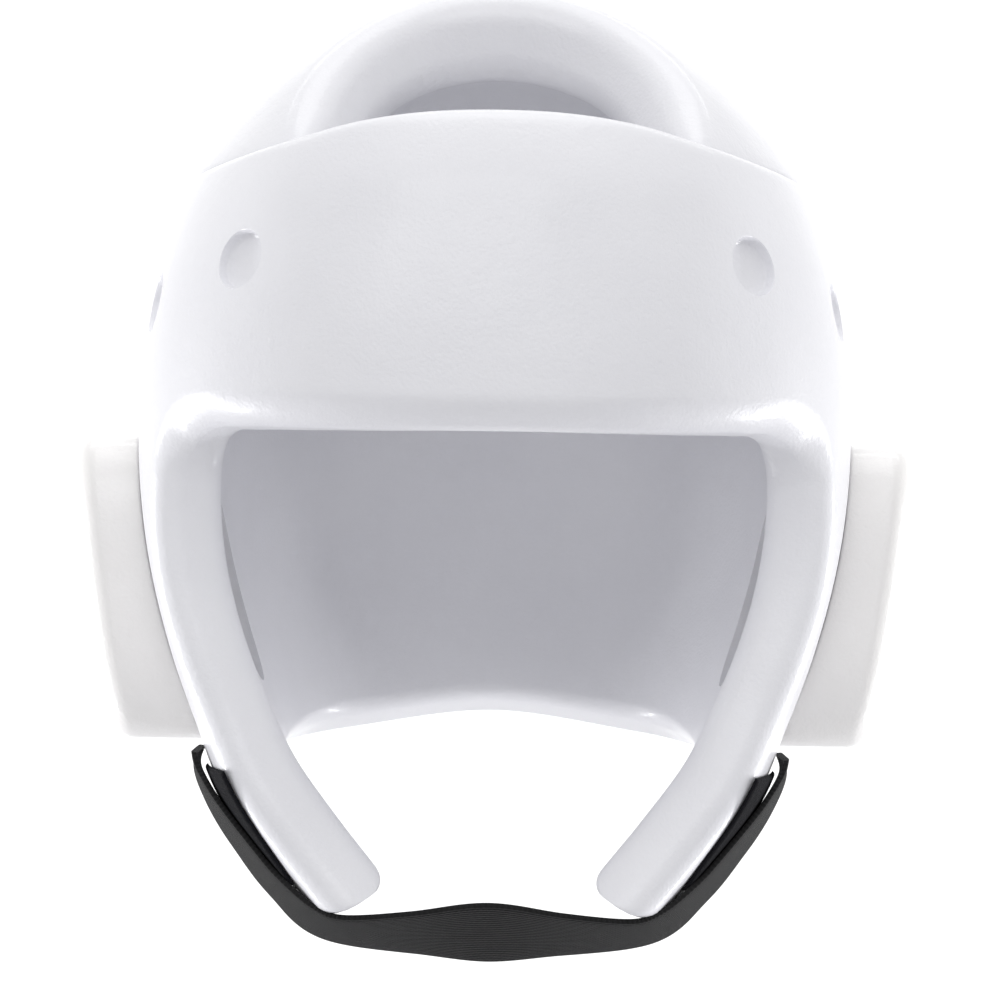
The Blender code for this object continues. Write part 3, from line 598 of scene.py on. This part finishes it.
def opening_edge(share):
    """Brow, corner and inner edge of the cheek bar."""
    return np.stack([follow(OPENING_EDGE, 1, share), follow(OPENING_EDGE, 2, share)], axis=-1)


def hem_edge(share):
    """End of the cheek bar and the hem back to behind the ear."""
    return np.stack([follow(HEM_EDGE, 1, share), follow(HEM_EDGE, 2, share)], axis=-1)


def far_edge(share):
    """Top rim to behind the ear, then straight down to the hem."""
    around = np.interp(share, [row[0] for row in RIM_LINES], [row[1] for row in RIM_LINES])
    down = np.clip((share - RIM_LINES[-1][0]) / (1 - RIM_LINES[-1][0]), 0.0, 1.0)
    top = rim_drop(around)
    return np.stack([around, top + (HEM_EDGE[-1][2] - top) * down], axis=-1)


def front_line(share):
    """Middle of the forehead, from the brow up to the rim."""
    drop = OPENING_EDGE[0][2] + (rim_drop(0.0) - OPENING_EDGE[0][2]) * share
    return np.stack([0 * share, drop], axis=-1)


def coons(near, far, left, right, u, v):
    """Coons patch: the blend of near and far, plus the blend of left and right, less the corners'."""
    u, v = u[..., None], v[..., None]
    across = (1 - v) * near(u[..., 0]) + v * far(u[..., 0])
    beside = (1 - u) * left(v[..., 0]) + u * right(v[..., 0])
    zero, one = np.zeros(1), np.ones(1)
    near_corners = (1 - u) * (1 - v) * near(zero) + u * (1 - v) * near(one)
    far_corners = (1 - u) * v * far(zero) + u * v * far(one)
    return across + beside - near_corners - far_corners


print("the brow is", round(1000 * GUARD_DROP * OPENING_EDGE[0][2], 1), "mm below the origin")

# %% Lines of the shell's grid
OPENING_ROUND = 0.009
INNER_ROUND = 0.007
HEM_ROUND = 0.005
BAR_END_ROUND = 0.0062
RIM_ROUND = 0.006
RIM_ROUND_BY_HOOD = 0.0021
BACK_CORNER = 100.0
RIM_BEHIND_EAR = 0.1450
FINE_ACROSS = 40
FINE_ALONG = 74
FINE_BACK = 54


def rough_length(start, end):
    """Length on the foam between two places: the hypotenuse of the turn and the fall."""
    turn = np.radians(end[..., 0] - start[..., 0]) * HALF_WIDTH
    return np.hypot(turn, (end[..., 1] - start[..., 1]) * GUARD_DROP)


def front_places():
    """Grid of places on the front part: shares across and along, each with a fixed added length."""
    between = np.linspace(0, 1, FINE_ACROSS + 2)[1:-1]
    near = even_arc(OPENING_ROUND, 11)
    end = -even_arc(RIM_ROUND, 9)[::-1]
    v_share = np.concatenate([0 * near, between, 1 + 0 * end])
    v_extra = np.concatenate([near, OPENING_ROUND * (1 - between) - RIM_ROUND * between, end])
    top = np.linspace(0, 0.5, FINE_ALONG)
    behind_ear = (HEM_EDGE[-1][2] - RIM_BEHIND_EAR) * GUARD_DROP
    corner = 0.5 + even_arc(RIM_ROUND_BY_HOOD, 5)[1:] / (2 * behind_ear)
    below = np.linspace(corner[-1], 1, FINE_ALONG + 1)[1:-1]
    hem = -even_arc(BAR_END_ROUND, 13)[::-1]
    u_share = np.concatenate([top, corner, below, 1 + 0 * hem])
    u_extra = np.concatenate([
        0 * top, 0 * corner, -BAR_END_ROUND * (below - corner[-1]) / (1 - corner[-1]), hem,
    ])
    across_length = rough_length(opening_edge(u_share), far_edge(u_share))
    along_length = rough_length(front_line(v_share), hem_edge(v_share))
    u = u_share[None, :] + u_extra / along_length[:, None]
    v = v_share[:, None] + v_extra[:, None] / across_length[None, :]
    return coons(opening_edge, far_edge, front_line, hem_edge, u, v)


def back_places(front):
    """Grid of places round the back, whose columns carry on from the front part's."""
    edge = front[-1, FINE_ALONG - 1 :, 1]
    share = (edge - edge[0]) / (edge[-1] - edge[0])
    share, around = np.meshgrid(share, np.linspace(BACK_CORNER, 180.0, FINE_BACK))
    top = rim_drop(around)
    return np.stack([around, top + (follow(BACK_HEM, 1, around) - top) * share], axis=-1)


front = front_places()
back = back_places(front)
print("front grid", front.shape[:2], "and back grid", back.shape[:2])

# %% [markdown]
# The brow is not a plain quarter round. The foam was cut square and its skin drawn over the corner, so
# the face meets the underside at a soft line and then slopes in. A superellipse of power 1.5 draws
# that, and it opens to a round edge on the cheek bars. Foam is never quite true, so the outer face
# also has slow swells of a quarter of a millimetre.

# %% Faces of the shell
BROW_POWER = 1.5
BROW_ENDS = (0.452, 0.500)  # drops
RIM_THINS = (45.0, 85.0)  # degrees around
BAR_ENDS = (44.0, 60.0)  # degrees around


def swells(points, depth=0.00025):
    """Slow unevenness: a sum of four sines of the place in different directions, 45 to 90 mm long."""
    waves = np.array([
        (70.0, 31.0, 58.0, 0.4),
        (-52.0, 77.0, 40.0, 1.9),
        (33.0, -66.0, 95.0, 2.7),
        (88.0, 52.0, -73.0, 4.1),
    ])
    phase = points @ waves[:, :3].T + waves[:, 3]
    return depth * np.sin(phase).sum(axis=-1) / 2


def rim_round(around):
    """Radius of the top rim: full over the forehead and small beside the hood."""
    return RIM_ROUND + (RIM_ROUND_BY_HOOD - RIM_ROUND) * soft_step(*RIM_THINS, around)


def opening_depth(distance, radius, drop):
    """Rounding of the opening's edge, from a bevel at the brow to a quarter circle on the bars."""
    brow = 1 - soft_step(*BROW_ENDS, drop)
    return rounding(distance, radius) * (1 - brow) + rounding(distance, radius, BROW_POWER) * brow


def foam_faces(places, from_opening, from_hem):
    """Outer and inner grids over some places: the form less the depth of the round edges."""
    around, drop = places[..., 0], places[..., 1]
    surface = form_point(around, drop)
    normal = form_normal(around, drop)
    from_rim = (drop - rim_drop(around)) * GUARD_DROP
    hem_round = BAR_END_ROUND + (HEM_ROUND - BAR_END_ROUND) * soft_step(*BAR_ENDS, around)
    shared = (rounding(from_hem, hem_round), rounding(from_rim, rim_round(around)))
    outer_depth = joined(opening_depth(from_opening, OPENING_ROUND, drop), *shared)
    inner_depth = joined(rounding(from_opening, INNER_ROUND), *shared)
    outer_depth = outer_depth - swells(surface)
    outer = surface - normal * outer_depth[..., None]
    inner = surface - normal * (FOAM - inner_depth)[..., None]
    return outer, inner


front_surface = form_point(front[..., 0], front[..., 1])
back_surface = form_point(back[..., 0], back[..., 1])
front_faces = foam_faces(
    front, run_lengths(front_surface, 0), run_lengths(front_surface[:, ::-1], 1)[:, ::-1]
)
back_faces = foam_faces(
    back, np.full(back.shape[:2], HALF_WIDTH), run_lengths(back_surface[:, ::-1], 1)[:, ::-1]
)
shell = new_piece("shell_foam", *foam_sheet([front_faces, back_faces]), white_skin)
print("shell has", len(shell.data.vertices), "points before cutting")

# %% [markdown]
# ### Dimples and ear holes
# Round dimples 17.5 mm wide and 4 mm deep let the foam breathe. They are pressed in, so each has a
# rolled lip, a steep wall and a soft floor. A turned cutter with that profile is taken out of the
# shell. Behind each ear cup an oval hole goes right through.

# %% Cuts in the shell
DIMPLE_WIDTH = 0.0175
DIMPLE_DEPTH = 0.004
DIMPLES = (
    # degrees around, drop
    (39.5, 0.252),
    (68, 0.294),
    (112, 0.297),
    (150, 0.297),
)
DIMPLE_PROFILE = (
    # share of the radius, share of the depth
    (1.26, -0.60),
    (1.11, -0.09),
    (1.06, 0.02),
    (1.03, 0.08),
    (1.01, 0.16),
    (0.995, 0.32),
    (0.975, 0.60),
    (0.955, 0.78),
    (0.915, 0.90),
    (0.84, 0.97),
    (0.66, 1.02),
    (0.40, 1.05),
    (0.15, 1.06),
)
EAR_CENTRE = np.array([0.0, 0.008, -0.161])
CAVITY = (0.044, 0.058, 2.4)


def oval(length, height, square, turn):
    """Superellipse seen from the side: length / 2 and height / 2 times signed powers of cos and sin."""
    y = np.sign(np.cos(turn)) * np.abs(np.cos(turn)) ** (2 / square) * length / 2
    z = np.sign(np.sin(turn)) * np.abs(np.sin(turn)) ** (2 / square) * height / 2
    return y, z


def dimple_cutters():
    """Turned cutters on both sides, each square to the form."""
    profile = [(row[0] * DIMPLE_WIDTH / 2, row[1] * DIMPLE_DEPTH) for row in DIMPLE_PROFILE]
    made = []
    for around, drop in DIMPLES:
        centre = form_point(np.array(float(around)), np.array(drop))
        axis = form_normal(np.array(float(around)), np.array(drop))
        for side in (-1, 1):
            flip = np.array([side, 1.0, 1.0])
            made.append(new_piece("dimple", *turned(centre * flip, axis * flip, profile, 72)))
    return made


def ear_hole_cutters():
    """Oval cutters through both sides."""
    y, z = oval(*CAVITY, np.linspace(0, 2 * np.pi, 64, endpoint=False))
    made = []
    for side in (-1, 1):
        rings = np.array([
            np.stack([side * x + 0 * y, y, z], axis=-1) + EAR_CENTRE
            for x in (HALF_WIDTH - 2.5 * FOAM, HALF_WIDTH + FOAM)
        ])
        if side < 0:
            rings = rings[:, ::-1]
        made.append(new_piece("ear_hole", *rings_solid(rings)))
    return made


cut_away(shell, dimple_cutters() + ear_hole_cutters())

# %% [markdown]
# ## The crown hood
# A thick arch of foam closes the crown and leaves a crescent open in front. Its outer face is a dome
# over the shell's rim: height = rim + (top - rim) (1 - share^2)^0.8, where share is the way out from the
# middle. The free arch is rounded over half its thickness, so it looks like a rolled pad.

# %% Crown hood
CROWN_FOAM = 0.024
CROWN_FULLNESS = 0.8
ARCH_SETBACK = 0.026
ARCH_SQUARE = 4.0
ARCH_THICKER = 0.0045
ARCH_THICK_LENGTH = 0.035
ARCH_ROUND = 0.0105
ARCH_ROUND_SHARE = 0.45
FOOT_STEP = 0.007
SIDE_STEP = 0.0006
FOOT_ROUND = 0.0025
FOOT_BEND = 0.042
HOOD_FLUSH = 88.0
HOOD_FOOT = 37.0
HOOD_CORNER = 138.0
SEAM_GAP = 0.0004
SLOPE_STEP = 0.0005
HOOD_LENGTH = 0.150  # rough length over the crown, then across it, then from seam to seam
HOOD_ACROSS = 0.095
HOOD_BACK = 0.125


def foot_step(around):
    """How far the foot stands back from the shell's face: most beside the forehead."""
    beside = soft_step(HOOD_FOOT, HOOD_FLUSH, around)
    return FOOT_STEP * (1 - beside) + SIDE_STEP * beside


def hood_seam(around):
    """Outer line of the foot on the rim, a gap above it."""
    place = form_point(around, rim_drop(around))
    inward = form_normal(around, rim_drop(around)) * foot_step(around)[..., None]
    return place - inward + np.array([0.0, 0.0, SEAM_GAP])


def dome_height(x, y):
    """Outer height over a place in plan."""
    seam = hood_seam(np.degrees(np.arctan2(np.abs(x), -y)))
    share = np.clip(np.hypot(x, y) / np.hypot(seam[..., 0], seam[..., 1]), 0.0, 1.0)
    return seam[..., 2] + (CROWN_FOAM - seam[..., 2]) * (1 - share**2) ** CROWN_FULLNESS


def arch_edge(share):
    """Free front edge in plan: almost straight across, then forward to the foot by share^4."""
    foot = hood_seam(np.array([HOOD_FOOT]))[0]
    y = -ARCH_SETBACK + (foot[1] + ARCH_SETBACK) * share**ARCH_SQUARE
    return np.stack([foot[0] * share, y], axis=-1)


def seam_behind(share):
    """Seam at the back in plan, from the middle to the corner of the grid."""
    return hood_seam(180.0 + (HOOD_CORNER - 180.0) * share)[..., :2]


def seam_beside(share):
    """Seam at the side in plan, from the foot of the arch to the corner."""
    return hood_seam(HOOD_FOOT + (HOOD_CORNER - HOOD_FOOT) * share)[..., :2]


def hood_middle(share):
    """Middle line in plan, from the arch to the back."""
    rear = hood_seam(np.array([180.0]))[0, 1]
    return np.stack([0 * share, -ARCH_SETBACK + (rear + ARCH_SETBACK) * share], axis=-1)


def hood_faces(u, v):
    """Outer and inner grids of the hood: the dome, less the round edges, along blended normals."""
    plan = coons(arch_edge, seam_behind, hood_middle, seam_beside, u, v)
    x, y = plan[..., 0], plan[..., 1]
    step = SLOPE_STEP
    slope_x = (dome_height(x + step, y) - dome_height(x - step, y)) / (2 * step)
    slope_y = (dome_height(x, y + step) - dome_height(x, y - step)) / (2 * step)
    upward = unit(np.stack([-slope_x, -slope_y, np.ones_like(x)], axis=-1))
    surface = np.stack([x, y, dome_height(x, y)], axis=-1)
    around = np.degrees(np.arctan2(x, -y))
    seam = hood_seam(around)
    from_seam = np.hypot(seam[..., 0] - x, seam[..., 1] - y) + surface[..., 2] - seam[..., 2]
    free = soft_step(0.0, FOOT_BEND, from_seam)[..., None]
    direction = unit(free * upward + (1 - free) * form_normal(around, rim_drop(around)))
    foam = free[..., 0] * CROWN_FOAM + (1 - free[..., 0]) * (FOAM - foot_step(around))
    from_arch = run_lengths(surface, axis=0)
    foam = foam + ARCH_THICKER * free[..., 0] * (1 - soft_step(0.0, ARCH_THICK_LENGTH, from_arch))
    arch_depth = rounding(from_arch, np.minimum(ARCH_ROUND, ARCH_ROUND_SHARE * foam))
    depth = joined(arch_depth, rounding(from_seam, FOOT_ROUND))
    outer = surface - direction * (depth - swells(surface))[..., None]
    return outer, surface - direction * (foam - depth)[..., None]


arch_lines = even_arc(ARCH_ROUND, 13) / HOOD_LENGTH
back_lines = np.linspace(arch_lines[-1], 1, 72)[1:]
foot_lines = 1 - even_arc(FOOT_ROUND * 0.6, 8)[::-1] / HOOD_ACROSS
seam_lines = 1 - even_arc(FOOT_ROUND * 0.6, 8)[::-1] / HOOD_BACK
hood_u = np.concatenate([np.linspace(0, foot_lines[0], 52)[:-1], foot_lines])
hood_v = np.concatenate([arch_lines, back_lines[back_lines < seam_lines[0]], seam_lines])
hood_grid = hood_faces(*np.meshgrid(hood_u, hood_v))
hood = new_piece("hood_foam", *foam_sheet([hood_grid]), white_skin)
print("hood has", len(hood.data.vertices), "points")

# %% [markdown]
# ## The ear cups
# Each cup is moulded foam glued over an ear, hollow towards the head. From the front its outer face
# slopes inwards below the middle. It is a stack of rings: out over the foot, up the wall, round the
# edge, and in across the face. Five sound holes go through the face.

# %% Ear cups
EAR_LENGTH = 0.072
EAR_HEIGHT = 0.094
EAR_REACH = 0.1286
EAR_TAPER = 0.0125
EAR_WALL = 0.009
EAR_ROUND = 0.006
EAR_SQUARE = 3.6
EAR_BULGE = 0.002
EAR_GAP = 0.0003
CUP_EDGE = 0.001
HOLE_WIDTH = 0.009
HOLE_RING = 0.013
HOLE_LIP = ((0.0022, -0.001), (0.0009, 0.0), (0.0003, 0.0005), (0.0, 0.0012))  # added radius, depth


def ear_face(y, z):
    """Half width of the outer face: reach - taper down^1.5 - bulge (2 y / length)^2."""
    down = np.clip((EAR_HEIGHT / 2 - z) / EAR_HEIGHT, 0.0, 1.0)
    return EAR_REACH - EAR_TAPER * down**1.5 - EAR_BULGE * (2 * y / EAR_LENGTH) ** 2


def ear_foot(y, z):
    """Half width of the form under the cup, a gap above it."""
    return form_half_width(y + EAR_CENTRE[1], z + EAR_CENTRE[2]) + EAR_GAP


def ear_ring(length, height, square, turn, half_width):
    """Ring whose half width is a function of its place seen from the side."""
    y, z = oval(length, height, square, turn)
    return np.stack([half_width(y, z), y, z], axis=-1) + EAR_CENTRE


def ear_rings(turn):
    """Rings from the middle of the cavity's roof to the middle of the outer face."""
    roof = [
        ear_ring(share * CAVITY[0], share * CAVITY[1], CAVITY[2], turn, lambda y, z: ear_face(y, z) - EAR_WALL)
        for share in (0.01, 0.2, 0.4, 0.6, 0.8, 0.9, 0.96)
    ]
    wall = [
        ear_ring(
            *CAVITY, turn,
            lambda y, z, share=share: (1 - share) * (ear_face(y, z) - EAR_WALL - CUP_EDGE)
            + share * ear_foot(y, z),
        )
        for share in np.linspace(0, 1, 8)
    ]
    under = [
        ear_ring(
            CAVITY[0] + share * (EAR_LENGTH - 2 * CUP_EDGE - CAVITY[0]),
            CAVITY[1] + share * (EAR_HEIGHT - 2 * CUP_EDGE - CAVITY[1]),
            CAVITY[2] + share * (EAR_SQUARE - CAVITY[2]), turn, ear_foot,
        )
        for share in np.linspace(0.1, 1, 8)
    ]
    foot_edge = [
        ear_ring(
            EAR_LENGTH - 2 * CUP_EDGE * (1 - np.sin(bend)),
            EAR_HEIGHT - 2 * CUP_EDGE * (1 - np.sin(bend)), EAR_SQUARE, turn,
            lambda y, z, bend=bend: ear_foot(y, z) + CUP_EDGE * (1 - np.cos(bend)),
        )
        for bend in np.linspace(0.3, np.pi / 2, 4)
    ]
    side = [
        ear_ring(
            EAR_LENGTH, EAR_HEIGHT, EAR_SQUARE, turn,
            lambda y, z, share=share: (1 - share) * (ear_foot(y, z) + CUP_EDGE)
            + share * (ear_face(y, z) - EAR_ROUND),
        )
        for share in np.linspace(0.1, 0.9, 8)
    ]
    bend = [
        ear_ring(
            EAR_LENGTH - 2 * EAR_ROUND * (1 - np.cos(angle)),
            EAR_HEIGHT - 2 * EAR_ROUND * (1 - np.cos(angle)), EAR_SQUARE, turn,
            lambda y, z, angle=angle: ear_face(y, z) - EAR_ROUND * (1 - np.sin(angle)),
        )
        for angle in np.linspace(0, np.pi / 2, 14)
    ]
    face = [
        ear_ring(
            share * (EAR_LENGTH - 2 * EAR_ROUND), share * (EAR_HEIGHT - 2 * EAR_ROUND),
            2 + (EAR_SQUARE - 2) * share, turn, ear_face,
        )
        for share in (0.97, 0.93, 0.87, 0.79, 0.70, 0.60, 0.50, 0.40, 0.30, 0.20, 0.10, 0.01)
    ]
    return np.array(roof + wall + under + foot_edge + side + bend + face)


def ear_cup(name, side):
    """One cup with its sound holes, whose rims are turned over by half a millimetre."""
    rings = ear_rings(np.linspace(0, 2 * np.pi, 128, endpoint=False)) * np.array([side, 1.0, 1.0])
    if side < 0:
        rings = rings[:, ::-1]
    cup = new_piece(name, *rings_solid(rings), cup_skin)
    turns = np.radians(45) + np.arange(4) * np.pi / 2
    places = [(0.0, 0.0)] + [(HOLE_RING * np.cos(turn), HOLE_RING * np.sin(turn)) for turn in turns]
    cutters = []
    for y, z in places:
        surface = float(ear_face(y, z))
        centre = np.array([side * surface, EAR_CENTRE[1] + y, EAR_CENTRE[2] + z])
        radius = HOLE_WIDTH / 2
        profile = [(radius + wider, depth) for wider, depth in HOLE_LIP] + [(radius, EAR_WALL + 0.004)]
        cutters.append(new_piece("sound_hole", *turned(centre, (side, 0.0, 0.0), profile, 48)))
    cut_away(cup, cutters)
    return cup


ear_cups = [ear_cup("ear_cup_foam_left", -1), ear_cup("ear_cup_foam_right", 1)]

# %% [markdown]
# ## The chin strap
# Black webbing, 38 mm wide, hangs from under one ear cup to the other. Straps don't stretch, so it is
# one profile carried along a path: a thin superellipse, tilted so that its rear edge stands outwards.
# Its UV map holds metres along and across, which is what the weave needs.

# %% Chin strap
STRAP_WIDTH = 0.038
STRAP_THICKNESS = 0.0023
STRAP_DROP = 0.2605
STRAP_HALF_SPAN = 0.092
STRAP_GAP = 0.0003
STRAP_SEAT_SHARE = 0.12
STRAP_STEPS = 160
STRAP_SMOOTHING = 30
STRAP_SQUARE = 6.0
STRAP_LINE = (
    # share along, share of the half span, share of the drop, middle in y, lean in degrees
    (0 / 10, 0.949, 0.8025, -0.034, 0),
    (1 / 10, 0.956, 0.8260, -0.036, 6),
    (2 / 10, 0.906, 0.8590, -0.041, 9),
    (3 / 10, 0.848, 0.8870, -0.046, 11),
    (4 / 10, 0.787, 0.9130, -0.050, 12),
    (5 / 10, 0.722, 0.9400, -0.054, 13),
    (6 / 10, 0.655, 0.9620, -0.058, 14),
    (7 / 10, 0.578, 0.9850, -0.061, 16),
    (8 / 10, 0.470, 0.9990, -0.064, 17),
    (9 / 10, 0.240, 1.0000, -0.066, 23),
    (10 / 10, 0.000, 0.9980, -0.067, 31),
)


def strap_path(steps):
    """Middle line and lean of the whole strap: one half from the table, and its mirror image. The
    table is mirrored too before it is followed, so that the curve is smooth across the middle."""
    share = np.linspace(0, 1, steps + 1)
    rows = STRAP_LINE + tuple((2 - row[0], -row[1], *row[2:]) for row in STRAP_LINE[-2::-1])
    half = np.stack([
        -STRAP_HALF_SPAN * follow(rows, 1, share),
        follow(rows, 3, share),
        -STRAP_DROP * follow(rows, 2, share),
    ], axis=-1)
    lean = np.radians(follow(rows, 4, share))
    rear_y = half[0, 1] + STRAP_WIDTH / 2
    seat = form_half_width(rear_y, half[0, 2]) + STRAP_GAP + STRAP_THICKNESS / 2
    half[:, 0] -= (seat + half[0, 0]) * (1 - soft_step(0.0, STRAP_SEAT_SHARE, share))
    other = half[-2::-1] * np.array([-1.0, 1.0, 1.0])
    return np.concatenate([half, other]), np.concatenate([lean, lean[-2::-1]])


def smoothed(values, rounds):
    """Each value becomes a quarter of each neighbour and half of itself, again and again."""
    for _ in range(rounds):
        values[1:-1] = 0.25 * values[:-2] + 0.5 * values[1:-1] + 0.25 * values[2:]
    return values


def ribbon(name, line, lean, width, thickness, finish, sections=48):
    """Profile carried along a path: a superellipse of power 6, with metres along and across as UV."""
    run = unit(np.gradient(line, axis=0) * np.array([1.0, 0.0, 1.0]))
    outward = np.stack([run[:, 2], 0 * lean, -run[:, 0]], axis=-1)
    across = np.cos(lean)[:, None] * np.array([0.0, 1.0, 0.0]) + np.sin(lean)[:, None] * outward
    face = np.cross(across, run)
    turn = np.linspace(0, 2 * np.pi, sections, endpoint=False)
    a, b = oval(width, thickness, STRAP_SQUARE, turn)
    rings = line[:, None] + a[None, :, None] * across[:, None] + b[None, :, None] * face[:, None]
    points, faces = rings_solid(rings[:, ::-1])
    piece = new_piece(name, points, faces, finish)
    along = np.concatenate([[0.0], np.cumsum(np.linalg.norm(np.diff(line, axis=0), axis=-1))])
    places = np.stack(np.broadcast_arrays(along[:, None], a[None, ::-1]), axis=-1).reshape(-1, 2)
    corners = np.zeros(len(piece.data.loops), dtype=int)
    piece.data.loops.foreach_get("vertex_index", corners)
    piece.data.uv_layers.new(name="metres")
    piece.data.uv_layers["metres"].data.foreach_set("uv", places[corners].reshape(-1))
    print(name, "is", round(1000 * along[-1]), "mm long")
    return piece, float(along[-1])


strap_middle, strap_lean = strap_path(STRAP_STEPS)
strap_middle = smoothed(strap_middle, STRAP_SMOOTHING)
chin_strap, strap_length = ribbon(
    "webbing_strap", strap_middle, strap_lean, STRAP_WIDTH, STRAP_THICKNESS, webbing
)

# %% [markdown]
# ## Loop tape on the cheek bars
# A strip of loop tape is glued to the outer face of each bar for the strap to close on. It is a thin
# sheet over the form, with edges rounded by its nap.

# %% Strap patches
PATCH_GAP = 0.0004
PATCH_THICKNESS = 0.0012
PATCH_Y = (-0.0750, -0.0400)
PATCH_DROP = (0.835, 0.963)
PATCH_BORDER = 0.04
PATCH_SIDE = 0.030
PATCH_ROUND = 0.001


def strap_patch(name, side):
    """Sheet of loop tape over one bar, whose edges thin out over a millimetre."""
    border = even_arc(PATCH_BORDER, 5)
    between = np.linspace(PATCH_BORDER, 1 - PATCH_BORDER, 24)[1:-1]
    shares = np.concatenate([border, between, 1 - border[::-1]])
    y, z = np.meshgrid(
        PATCH_Y[0] + (PATCH_Y[1] - PATCH_Y[0]) * shares,
        -GUARD_DROP * (PATCH_DROP[0] + (PATCH_DROP[1] - PATCH_DROP[0]) * shares),
    )
    surface = np.stack([form_half_width(y, z), y, z], axis=-1)
    normal = form_normal(np.degrees(np.arctan2(surface[..., 0], -y)), -z / GUARD_DROP)
    edge = np.minimum.outer(np.minimum(shares, 1 - shares), np.minimum(shares, 1 - shares))
    thickness = PATCH_THICKNESS - rounding(edge * PATCH_SIDE, PATCH_ROUND)
    outer = surface + normal * (PATCH_GAP + thickness)[..., None]
    inner = surface + normal * PATCH_GAP
    flip = np.array([side, 1.0, 1.0])
    if side > 0:
        outer, inner = outer[:, ::-1], inner[:, ::-1]
    return new_piece(name, *foam_sheet([(outer * flip, inner * flip)], halved=False), tape)


patches = [strap_patch("loop_tape_left", -1), strap_patch("loop_tape_right", 1)]
print("made", [patch.name for patch in patches])

# %% [markdown]
# ## Each piece stands for its CAD solid
# The dressed pieces replace the plain solids one by one and ride on the only body.

# %% Frame links
LINKS = (
    (shell, "shell", "white_foam"),
    (hood, "crown_hood", "white_foam"),
    (ear_cups[0], "ear_cup_left", "white_foam"),
    (ear_cups[1], "ear_cup_right", "white_foam"),
    (chin_strap, "chin_strap", "black_webbing"),
    (patches[0], "strap_patch_left", "black_loop_tape"),
    (patches[1], "strap_patch_right", "black_loop_tape"),
)
for piece, node, slot in LINKS:
    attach(piece, "root")
    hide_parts(node)
    print(piece.name, "stands for", node)

# %% [markdown]
# ## Floor and light
# The photograph is a white packshot: an even white room, a large soft light in front and above, and
# one on each side that draws the glossy streaks down the bars. The floor is a pale grey sheet, which
# dims the underside of the brow a little, and a white paper backdrop curves up behind it, so no
# horizon shows.

# %% Floor
def swept_sheet(name, y, z, finish):
    """Sheet 6 m wide along a line of y and z: the same line at x = -3 and at x = 3."""
    x = np.array([-3.0, 3.0])
    points = np.stack(np.broadcast_arrays(x[None, :], y[:, None], z[:, None]), axis=-1)
    return new_piece(name, points.reshape(-1, 3), grid_quads(len(y), 2), finish)


FLOOR = -0.55
FLOOR_FRONT = -2.5
SWEEP_START = 1.1
SWEEP_RADIUS = 0.5
SWEEP_TOP = 3.2
paper, paper_tree, paper_shader = new_finish("matt_paper_backdrop")
grain = add_node(
    paper_tree, "ShaderNodeTexNoise", {"Scale": 300.0},
    {"Vector": add_node(paper_tree, "ShaderNodeTexCoord").outputs["Object"]},
)
tooth = add_node(
    paper_tree, "ShaderNodeBump", {"Strength": 0.1, "Distance": 0.0003}, {"Height": grain.outputs["Fac"]}
)
paper_tree.links.new(tooth.outputs["Normal"], paper_shader.inputs["Normal"])
paper_shader.inputs["Base Color"].default_value = linear("#F7F7F7")
paper_shader.inputs["Roughness"].default_value = 0.9
boards, _, boards_shader = new_finish("matt_painted_floor")
boards_shader.inputs["Base Color"].default_value = linear("#C4C4C6")
boards_shader.inputs["Roughness"].default_value = 0.8
bend = np.linspace(0, np.pi / 2, 24)
floor = swept_sheet(
    "pale_floor", np.array([FLOOR_FRONT, SWEEP_START]), np.array([FLOOR, FLOOR]), boards
)
backdrop = swept_sheet(
    "paper_backdrop", np.append(SWEEP_START + SWEEP_RADIUS * np.sin(bend), SWEEP_START + SWEEP_RADIUS),
    np.append(FLOOR + SWEEP_RADIUS * (1 - np.cos(bend)), SWEEP_TOP), paper,
)
print("floor at", FLOOR, "m and backdrop made")

# %% Light
def soft_light(name, place, target, size, watts):
    """Rectangular area light that looks at a point."""
    data = bpy.data.lights.new(name, "AREA")
    data.shape = "RECTANGLE"
    data.size, data.size_y = size
    data.energy = watts
    lamp = bpy.data.objects.new(name, data)
    lamp.location = place
    aim = np.array(target) - np.array(place)
    heading = np.arctan2(aim[0], -aim[1])
    tilt = np.arctan2(np.hypot(aim[0], aim[1]), -aim[2])
    lamp.rotation_euler = (tilt, 0.0, np.pi + heading)
    bpy.context.scene.collection.objects.link(lamp)
    return lamp


world = bpy.data.worlds.new("white_room")
world.use_nodes = True
world.node_tree.nodes["Background"].inputs["Color"].default_value = linear("#FFFFFF")
world.node_tree.nodes["Background"].inputs["Strength"].default_value = 0.80
bpy.context.scene.world = world
MIDDLE = (0.0, 0.0, -0.12)
soft_light("front_softbox", (-0.25, -1.6, 0.80), MIDDLE, (1.1, 0.8), 3.4)
soft_light("left_strip", (-0.50, 0.08, -0.33), (-0.07, -0.09, -0.20), (0.05, 0.40), 1.5)
soft_light("right_strip", (0.50, 0.08, -0.33), (0.07, -0.09, -0.20), (0.05, 0.40), 1.5)
soft_light("top_softbox", (0.0, -0.1, 1.2), MIDDLE, (0.9, 0.9), 3.2)
soft_light("backdrop_light", (0.0, 0.6, 0.9), (0.0, 1.6, 0.0), (1.6, 0.4), 14.0)
bpy.context.scene.view_settings.view_transform = "Standard"
